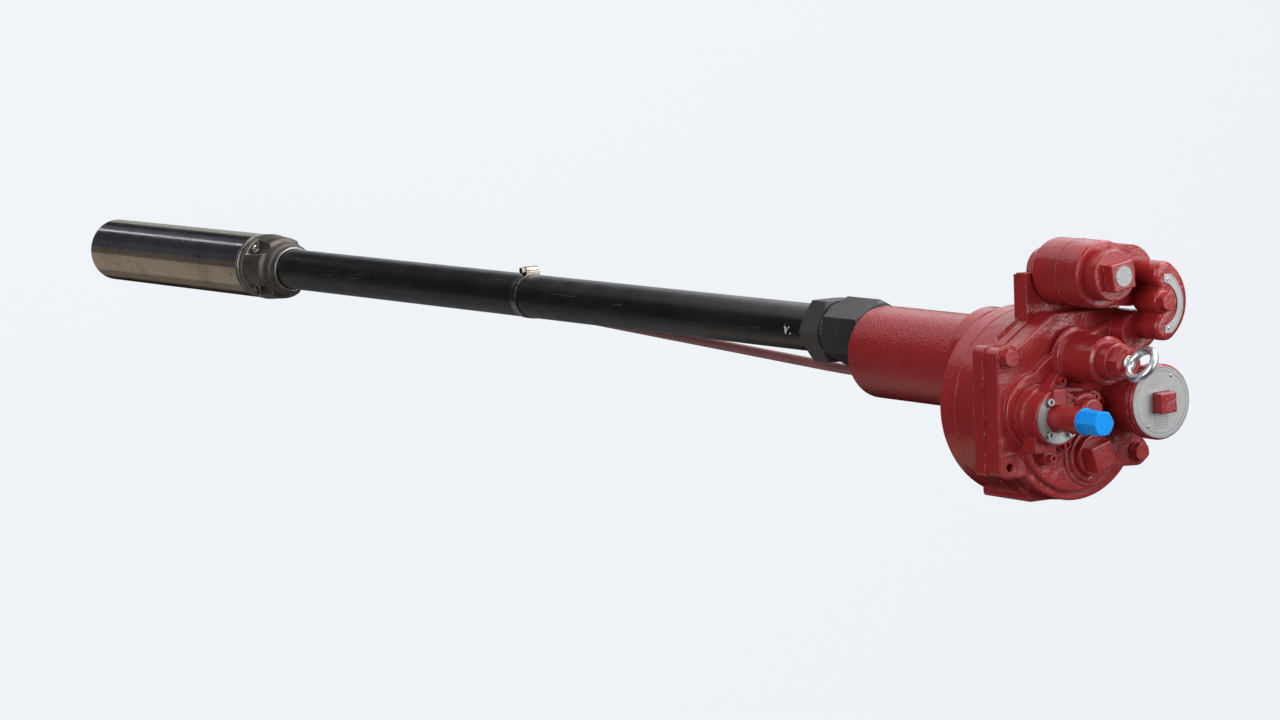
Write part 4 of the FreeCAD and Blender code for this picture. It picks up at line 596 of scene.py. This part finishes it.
def smooth_loop(points):
    """A closed curve through the points: between two of them it is the cubic whose slopes at its ends
    are half the step from the neighbour before to the neighbour after."""
    here = np.asarray(points, float)
    after, later, before = np.roll(here, -1, 0), np.roll(here, -2, 0), np.roll(here, 1, 0)
    t = np.linspace(0.0, 1.0, LOOP_STEPS, endpoint=False)[None, :, None]
    start, end = (after - before) / 2, (later - here) / 2
    here, after, start, end = (v[:, None, :] for v in (here, after, start, end))
    curve = ((2 * t ** 3 - 3 * t ** 2 + 1) * here + (t ** 3 - 2 * t ** 2 + t) * start
             + (3 * t ** 2 - 2 * t ** 3) * after + (t ** 3 - t ** 2) * end)
    return curve.reshape(-1, 2)


half = np.array(YOKE_HALF)
loop = smooth_loop(np.concatenate([half, [YOKE_BACK], half[:0:-1] * (-1.0, 1.0)]))
along = np.roll(loop, -1, 0) - np.roll(loop, 1, 0)
inward = np.stack([-along[:, 1], along[:, 0]], axis=-1) / np.linalg.norm(along, axis=-1)[:, None]
yoke_low, yoke_high = (corner[2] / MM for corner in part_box("yoke"))
yoke_top = yoke_high - BOSS_RISE
bend = np.linspace(0.0, np.pi / 2, 8)
rows = [(FOOT_ROUND, yoke_low), (0.0, yoke_low + FOOT_ROUND), (0.0, yoke_low + YOKE_STRAIGHT)]
rows += [(YOKE_ROUND * (1 - math.cos(b)), yoke_top - YOKE_ROUND + YOKE_ROUND * math.sin(b))
         for b in bend]
inset = np.array(rows)
outline = loop[None] + inward[None] * inset[:, :1, None] + np.array(YOKE_CENTRE)
level = np.broadcast_to(inset[:, 1][:, None, None], outline.shape[:2] + (1,))
grid = np.concatenate([outline, level], axis=-1)[None] * MM
yoke_cast = surface("yoke_cast", grid, "yoke_lift", "red_paint", cast_enamel, caps=True, crease=50.0)
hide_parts("yoke")
boss_grids = turned_grids([YOKE_BOLT_CENTRE + (yoke_top,)], BOSS_PROFILE, 48)
surface("yoke_boss", boss_grids, "yoke_lift", "red_paint", cast_enamel)

# %% [markdown]
# ## Thread between the lock's two hexagons
# The nut never closes quite on the body, and the gap shows a turn or two of a coarse thread. The
# surface is a cylinder whose radius rises and falls once a pitch, shifted by the angle, which
# makes the ridge climb as a helix.

# %% Lock thread
COLUMN_CENTRE = (-20.0, 0.0)
THREAD_LEVELS = (-88.8, -79.2)
THREAD_PITCH = 2.4
THREAD_ROOT = 36.05
THREAD_DEPTH = 0.75
THREAD_INSIDE = 35.9
THREAD_TURNS = 96
THREAD_ROWS = 49

angle = np.linspace(0.0, 2 * np.pi, THREAD_TURNS, endpoint=False)
level = np.linspace(*THREAD_LEVELS, THREAD_ROWS)
phase = level[:, None] / THREAD_PITCH - angle[None, :] / (2 * np.pi)
radius = THREAD_ROOT + THREAD_DEPTH * (1.0 - np.abs(2.0 * (phase - np.floor(phase)) - 1.0))
radius = np.pad(radius, ((1, 1), (0, 0)), constant_values=THREAD_INSIDE)
level = np.pad(level, 1, mode="edge")[:, None] + 0 * radius
thread = np.stack([COLUMN_CENTRE[0] + radius * np.cos(angle), radius * np.sin(angle), level], axis=-1)
surface("lock_thread", thread[None] * MM, "string", "nut_black", nut_paint, wrap_rows=True, crease=30.0)

# %% [markdown]
# ## Seats and rings
# The bolt seats stand a little proud as machined rings, and the mouth of the discharge head is a
# worn bright ring round the column. Each is a closed profile carried round its axis.

# %% Rings
BOW = np.linspace(0.0, np.pi, 7)
PACKER_TOP = 372.0
UPPER_BOLT_CENTRE = (-27.0, -96.5)
JACK_HOLE_CENTRE = (101.0, -96.5)


def ring_piece(name, centre, radius, width, height, body, slot, material):
    """A low rounded ridge: a half ellipse of width and height on the radius, sunk into its ground."""
    profile = np.stack([radius - width / 2 * np.cos(BOW), height * np.sin(BOW)], axis=-1)
    foot = [[radius + width / 2, -SUNK], [radius - width / 2, -SUNK]]
    grids = turned_grids([centre], np.concatenate([profile, foot]), 96)
    surface(name, grids, body, slot, material, wrap_rows=True)


ring_piece("upper_bolt_seat", UPPER_BOLT_CENTRE + (PACKER_TOP,), 14.6, 1.6, 0.9, "head", "red_paint",
           cast_enamel)
ring_piece("jack_hole_seat", JACK_HOLE_CENTRE + (PACKER_TOP,), 9.0, 1.4, 0.7, "head", "red_paint",
           cast_enamel)
head_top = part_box("discharge_head")[1][2] / MM
ring_piece("discharge_mouth", COLUMN_CENTRE + (head_top,), 31.7, 2.6, 0.9, "string", "steel", steel)

# %% [markdown]
# ## Mould seams
# Sand castings show where the mould halves met: a thin low ridge round the drum and the junction
# box. Nobody files it quite away, so it wanders a little and fades out at its ends.

# %% Seams
DRUM_CENTRE = (38.2, 0.0)
SEAM_SUNK = 0.5
SEAM_TURNS = 120


def side_seam(name, centre, radius, level, width, height, from_degree, to_degree):
    """A mould seam round a drum: a half ellipse whose height points outwards, swept from one angle to
    another. It wanders up and down by less than a millimetre and thins out to nothing at both ends."""
    angle = np.radians(np.linspace(from_degree, to_degree, SEAM_TURNS))
    fade = np.sqrt(np.clip(np.sin(np.linspace(0.0, np.pi, SEAM_TURNS)), 0.0, 1.0))
    rise = height * fade * (0.75 + 0.25 * np.sin(9.0 * angle))
    out = radius + np.sin(BOW)[:, None] * rise[None, :]
    out = np.concatenate([out, np.full((2, SEAM_TURNS), radius - SEAM_SUNK)])
    up = level + width / 2 * np.cos(BOW)
    up = np.concatenate([up, [level - width / 2, level + width / 2]])[:, None]
    up = up + 0.5 * np.sin(6.0 * angle)[None, :] + 0.3 * np.sin(17.0 * angle)[None, :]
    points = np.stack([centre[0] + out * np.cos(angle), centre[1] + out * np.sin(angle), up], axis=-1)
    surface(name, points[None] * MM, "head", "red_paint", cast_enamel, wrap_rows=True, wrap_turns=False)


side_seam("drum_seam", DRUM_CENTRE, radius=113.0, level=290.0, width=2.0, height=0.8,
          from_degree=118.0, to_degree=305.0)
side_seam("box_seam", BOX_CENTRE, radius=39.5, level=391.0, width=1.8, height=0.6,
          from_degree=120.0, to_degree=330.0)

# %% [markdown]
# ## The far wall of the valve's pocket
# The check valve's pocket is wider than the packer's plate there and opens through its far side. A
# cast wall under the barrel closes it: a closed profile that goes a third of the way round the axis.

# %% Pocket wall
POCKET_WALL = ((33.05, 371.9), (38.0, 371.9), (38.0, 364.0), (36.5, 359.5), (31.0, 355.0),
               (31.0, 359.9), (33.05, 360.1))
FAR_SIDE = slice(22, 84)     # of 180 turns, so from 44 to 166 degrees
wall_grids = turned_grids([COVER_CENTRE + (0.0,)], POCKET_WALL, 180)[:, :, FAR_SIDE]
surface("valve_pocket_wall", wall_grids, "head", "red_paint", cast_enamel, wrap_rows=True,
        wrap_turns=False)

# %% [markdown]
# ## The pump's cast head
# The casting that closes the pump is round at its flange and grows into four lobes, with a channel
# between two lobes for each screw. It is one closed profile carried round the axis. In a channel
# the radius falls to a floor and flares out again with the cube of the angle, and a smooth
# minimum of the two radii rounds the lobes' rims.

# %% Cast head
SHELL_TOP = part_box("pump_shell")[1][2] / MM
SCREW_CIRCLE = 41.0
SCREW_LEVEL = 27.3
SCREW_DEGREES = np.array((45.0, 135.0, 225.0, 315.0))
CHANNEL_HALF_DEGREES = 17.5
CHANNEL_FLARE = 15.0
CHANNEL_FLOOR = (33.2, 39.6)     # its radius at the screw's level and at the step
CHANNEL_SPREAD = 1.6
CHANNEL_START = 0.2     # how soon it opens over the screw's level
STEP_LEVEL = 70.0
STEP_RUN = 4.0
NECK_RADIUS = 40.5
RIM_BLEND = 0.35
HEAD_TURNS = 480
HEAD_PROFILE = ((24.0, -20.0), (46.5, -20.0), (46.5, 0.1), (48.1, 0.1), (48.1, 3.6), (47.6, 4.4),
                (46.2, 4.8), (46.2, 8.6), (47.6, 9.2), (48.8, 10.2), (49.1, 11.6), (49.1, 17.0),
                (48.6, 18.0), (47.3, 18.6), (47.2, 20.6), (48.6, 21.2), (49.5, 22.2), (49.7, 23.6),
                (49.6, 27.1), (49.6, 27.3), (49.5, 27.5), (49.3, 29.0), (48.9, 33.0), (48.5, 38.0),
                (48.2, 43.0), (47.8, 48.0), (47.4, 53.0), (47.1, 58.0), (46.8, 62.0), (46.5, 66.0),
                (46.1, 68.4), (45.2, 69.6), (43.4, 70.6), (41.4, 71.4), (39.9, 72.4), (39.3, 74.0),
                (39.1, 78.0), (38.9, 84.0), (38.4, 85.8), (37.2, 86.8), (35.6, 87.8), (34.8, 89.0),
                (34.5, 91.0), (34.2, 95.0), (33.8, 97.2), (32.8, 98.3), (30.3, 98.3), (30.3, 66.3),
                (24.0, 66.3))


def lobed_head(profile_mm):
    """The profile carried round the column's axis, with its channels. floor rises from the screw's level
    to the step, and the smooth minimum of radii a and b is -k log(exp(-a / k) + exp(-b / k))."""
    profile = np.asarray(profile_mm, float)
    angle = np.linspace(0.0, 2 * np.pi, HEAD_TURNS, endpoint=False)
    off = (np.degrees(angle)[:, None] - SCREW_DEGREES + 180.0) % 360.0 - 180.0
    share = np.abs(off).min(axis=1) / CHANNEL_HALF_DEGREES
    radius, level = profile[:, :1], profile[:, 1:]
    floor = np.interp(level, (SCREW_LEVEL, STEP_LEVEL), CHANNEL_FLOOR)
    hollow = floor + CHANNEL_FLARE * np.minimum(share, CHANNEL_SPREAD)[None, :] ** 3
    smooth = -RIM_BLEND * np.logaddexp(-radius / RIM_BLEND, -hollow / RIM_BLEND)
    above = np.clip((level - SCREW_LEVEL) / CHANNEL_START, 0.0, 1.0)
    above = above * (level < STEP_LEVEL + STEP_RUN) * (radius > NECK_RADIUS)
    reach = np.minimum(radius, radius + above * (smooth - radius))
    return np.stack([COLUMN_CENTRE[0] + reach * np.cos(angle), COLUMN_CENTRE[1] + reach * np.sin(angle),
                     SHELL_TOP + level + 0 * reach], axis=-1)[None] * MM


head_grid = lobed_head(HEAD_PROFILE)
head_cast = surface("head_cast", head_grid, "string", "cast_grey", cast_grey, wrap_rows=True)
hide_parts("discharge_head")

# %% [markdown]
# ## Bright socket screws
# A socket screw's head is a short cylinder with a rounded rim and a hexagon socket. Its profile
# goes up the side, over the rim and down into the socket, where three rows are hexagons.

# %% Head screws
bright_steel = machined("bright_socket_screws", "#D6D4D2", "#A3A09C", 0.20, 5.0, EVEN, 0.2, edge_mm=0.4)
SOCKET_HEAD = ((0.0, -12.0), (3.9, -12.0), (4.0, 0.0), (6.2, 0.0), (6.5, 0.3), (6.5, 5.2), (6.2, 6.1),
               (5.5, 6.5), (4.0, 6.6), (3.3, 6.2), (3.1, 3.2), (2.0, 2.6), (0.0, 2.2))
SOCKET_ROWS = (9, 10, 11)
turn = np.radians(SCREW_DEGREES)
screw_centres = np.column_stack([COLUMN_CENTRE[0] + SCREW_CIRCLE * np.cos(turn),
                                 COLUMN_CENTRE[1] + SCREW_CIRCLE * np.sin(turn),
                                 0 * turn + SHELL_TOP + SCREW_LEVEL])
screw_grids = turned_grids(screw_centres, SOCKET_HEAD, 48, hexed=SOCKET_ROWS)
screw_piece = surface("bright_head_screws", screw_grids, "string", "steel", bright_steel, crease=35.0)
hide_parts("head_screws")

# %% [markdown]
# ## Valve springs of round wire
# A wire spring holds each poppet on its seat, and it shortens as the poppet lifts, which a rigid
# solid can't do. A helix of the same size stands for it. The wire's circle is carried along the
# helix, square to its slope.

# %% Springs
COIL_STEPS = 28
WIRE_SIDES = 12
BODIES = frame["record"]["behaviour"]["bodies"]
BODY_OF = {node: body for body, nodes in BODIES.items() for node in nodes}


def helix_spring(name, node, wire, coils):
    """A round wire of radius wire along a helix inside the node's box. A point is the helix's own point
    plus wire times (cosine along the radius, sine along the cross product of slope and radius)."""
    low, high = (np.array(corner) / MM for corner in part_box(node))
    reach = (high[0] - low[0]) / 2 - wire
    rise = high[2] - low[2] - 2 * wire
    share = np.linspace(0.0, 1.0, coils * COIL_STEPS + 1)
    turn = 2 * np.pi * coils * share
    zero = 0 * turn
    out = np.stack([np.cos(turn), np.sin(turn), zero], axis=-1)
    climb = zero + rise / (2 * np.pi * coils)
    slope = np.stack([-reach * np.sin(turn), reach * np.cos(turn), climb], axis=-1)
    across = np.cross(slope, out)
    across /= np.linalg.norm(across, axis=-1)[:, None]
    middle = (low + high) / 2
    core = np.stack([middle[0] + zero, middle[1] + zero, low[2] + wire + rise * share], axis=-1)
    path = core + reach * out
    round_turn = np.linspace(0.0, 2 * np.pi, WIRE_SIDES, endpoint=False)[None, :, None]
    wall = wire * (np.cos(round_turn) * out[:, None] + np.sin(round_turn) * across[:, None])
    piece = surface(name, (path[:, None] + wall)[None] * MM, BODY_OF[node], "steel", steel, caps=True)
    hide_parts(node)
    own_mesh(piece)


helix_spring("check_spring_wire", "check_spring", wire=1.5, coils=5)
helix_spring("relief_spring_wire", "relief_spring", wire=0.9, coils=5)

# %% [markdown]
# ## Floor, light and background
# The pump floats before a pale sheet, as in a catalogue picture. The floor lies below the pump,
# and shows its own pale colour to the camera, with a little of its shade left in it.

# %% Floor and background
PALE = "#F1F5F9"
FLOOR_Z = -2.70
FLOOR_HALF = 40.0
FLOOR_SHOWN = 0.92     # the rest of it takes shade
ROOM_STRENGTH = 0.09


def flat_mesh(name, points, faces, material):
    """A mesh object from an array of points and a list of faces."""
    mesh = bpy.data.meshes.new(name)
    mesh.from_pydata([tuple(p) for p in points], [], [tuple(f) for f in faces])
    mesh.materials.append(material)
    piece = bpy.data.objects.new(name, mesh)
    bpy.context.scene.collection.objects.link(piece)
    return piece


def seen_rays(tree):
    """1 for the rays that show the background: from the camera, in mirrors and through glass."""
    rays = add(tree, "ShaderNodeLightPath", 0).node.outputs
    value = add(tree, "ShaderNodeMath", operation="MAXIMUM", in0=rays["Is Camera Ray"],
                in1=rays["Is Glossy Ray"])
    return add(tree, "ShaderNodeMath", operation="MAXIMUM", in0=value, in1=rays["Is Transmission Ray"])


sheet, tree = start_material("pale_matt_sheet")[:2]
shaded = add(tree, "ShaderNodeBsdfDiffuse", Color=linear(PALE))
shown = add(tree, "ShaderNodeEmission", Color=linear(PALE), Strength=1.0)
share = add(tree, "ShaderNodeMath", operation="MULTIPLY", in0=seen_rays(tree), in1=FLOOR_SHOWN)
mixed = add(tree, "ShaderNodeMixShader", in0=share, in1=shaded, in2=shown)
add(tree, "ShaderNodeOutputMaterial", Surface=mixed)
corners = [(x * FLOOR_HALF, y * FLOOR_HALF, FLOOR_Z) for x, y in ((-1, -1), (1, -1), (1, 1), (-1, 1))]
floor = flat_mesh("floor", corners, [(0, 1, 2, 3)], sheet)

world = bpy.data.worlds.new("world")
bpy.context.scene.world = world
world.use_nodes = True
tree = world.node_tree
tree.nodes.clear()
seen = add(tree, "ShaderNodeBackground", Color=linear(PALE), Strength=1.0)
soft = add(tree, "ShaderNodeBackground", Color=linear("#F4F5F7"), Strength=ROOM_STRENGTH)
camera_ray = add(tree, "ShaderNodeLightPath", "Is Camera Ray")
mixed = add(tree, "ShaderNodeMixShader", in0=camera_ray, in1=soft, in2=seen)
add(tree, "ShaderNodeOutputWorld", Surface=mixed)
print("floor", floor.name, "world", world.name)

# %% [markdown]
# ## Reflection cards
# A photographer stands grey and white cards round shiny metal. The pipes mirror the space under
# the pump, so the cards are sectors of flat rings just above the floor, seen only in reflections.
# Each part of the pump mirrors its own zone of radii: the shell the nearest, the head the farthest.

# %% Cards
CARD_LIFT = 0.01
CARD_STEPS = 24


def card(name, from_degree, to_degree, zone, colour, strength):
    """A sector of a flat ring: radius over the zone in metres, angle from one to the other."""
    turns = np.radians(np.linspace(from_degree, to_degree, CARD_STEPS + 1))
    ring = np.stack([np.cos(turns), np.sin(turns)], axis=1)
    flat = np.concatenate([ring * zone[0], ring * zone[1]]) + np.array(COLUMN_CENTRE) * MM
    points = np.column_stack([flat, np.full(len(flat), FLOOR_Z + CARD_LIFT)])
    first = np.arange(CARD_STEPS)
    faces = np.stack([first, first + 1, first + CARD_STEPS + 2, first + CARD_STEPS + 1], axis=1)
    material, tree = start_material("card_" + name)[:2]
    glow = add(tree, "ShaderNodeEmission", Color=linear(colour), Strength=strength)
    add(tree, "ShaderNodeOutputMaterial", Surface=glow)
    piece = flat_mesh("card_" + name, points, faces.tolist(), material)
    piece.visible_camera = False
    piece.visible_diffuse = False
    piece.visible_shadow = False
    piece.visible_transmission = False


SHELL_ZONE = (0.0, 0.66)
COLUMN_ZONE = (0.66, 1.70)
HEAD_ZONE = (1.70, 9.0)
CARDS = (
    ("shell_top", 70, 142, SHELL_ZONE, "#C9CCC6", 0.75),
    ("shell_dark_a", 142, 168, SHELL_ZONE, "#343741", 0.8),
    ("shell_blue", 168, 190, SHELL_ZONE, "#6A6E7E", 0.7),
    ("shell_line", 190, 194, SHELL_ZONE, "#F4F4FA", 2.0),
    ("shell_dark_b", 194, 232, SHELL_ZONE, "#42444F", 0.8),
    ("shell_dark_c", 232, 258, SHELL_ZONE, "#4D4E58", 0.9),
    ("shell_mid", 258, 280, SHELL_ZONE, "#6B645D", 0.8),
    ("shell_warm", 280, 345, SHELL_ZONE, "#A4978A", 0.9),
    ("shell_fall", 345, 380, SHELL_ZONE, "#7F7468", 0.8),
    ("shell_low", 380, 430, SHELL_ZONE, "#352D26", 0.5),
    ("column_top", 70, 140, COLUMN_ZONE, "#DDE3EA", 0.95),
    ("column_dark", 140, 300, COLUMN_ZONE, "#2C2D30", 0.6),
    ("column_low", 300, 430, COLUMN_ZONE, "#84878C", 0.80),
    ("head_top", 108, 168, HEAD_ZONE, "#F3F1F4", 1.35),
    ("head_streak", 168, 224, HEAD_ZONE, "#F3EFF2", 1.05),
    ("head_dark", 224, 318, HEAD_ZONE, "#2A2422", 0.6),
    ("head_brown", 318, 360, HEAD_ZONE, "#8A7766", 1.7),
    ("head_low", 360, 468, HEAD_ZONE, "#2C2220", 0.4),
)
for name, start, end, zone, colour, strength in CARDS:
    card(name, start, end, zone, colour, strength)
print("cards", len(CARDS))

# %% [markdown]
# ## Lamps
# Large soft lamps stand for the windows of a studio. The key lies on the side that the picture
# shows as up, the front one faces the near side, and their places are the ones that the rounded
# edges mirror, which draws the thin light lines along the castings. A tiny spark lamp is aimed at
# the pump's cast head.

# %% Lamps
def lamp(name, place, target, size, power):
    """A large soft lamp that faces its target. size is its width and height in metres."""
    data = bpy.data.lights.new(name, "AREA")
    data.shape = "RECTANGLE"
    data.size, data.size_y = size
    data.energy = power
    piece = bpy.data.objects.new(name, data)
    piece.location = place
    piece.rotation_euler = (Vector(target) - Vector(place)).to_track_quat("-Z", "Y").to_euler()
    bpy.context.scene.collection.objects.link(piece)
    piece.visible_camera = False


lamp("key", (-3.0, 1.3, 0.9), (0.0, 0.0, -0.5), (2.8, 2.6), 157.0)
lamp("front", (-1.2, -2.9, 2.1), (0.0, 0.0, 0.0), (3.0, 1.6), 88.0)
lamp("top", (-0.90, 1.8, 3.2), (0.0, 0.0, 0.3), (2.3, 2.6), 89.0)
lamp("spark", (0.10, 0.76, -0.18), (-0.02, 0.0, -1.60), (0.15, 0.15), 0.7)

bpy.context.scene.view_settings.view_transform = "Standard"
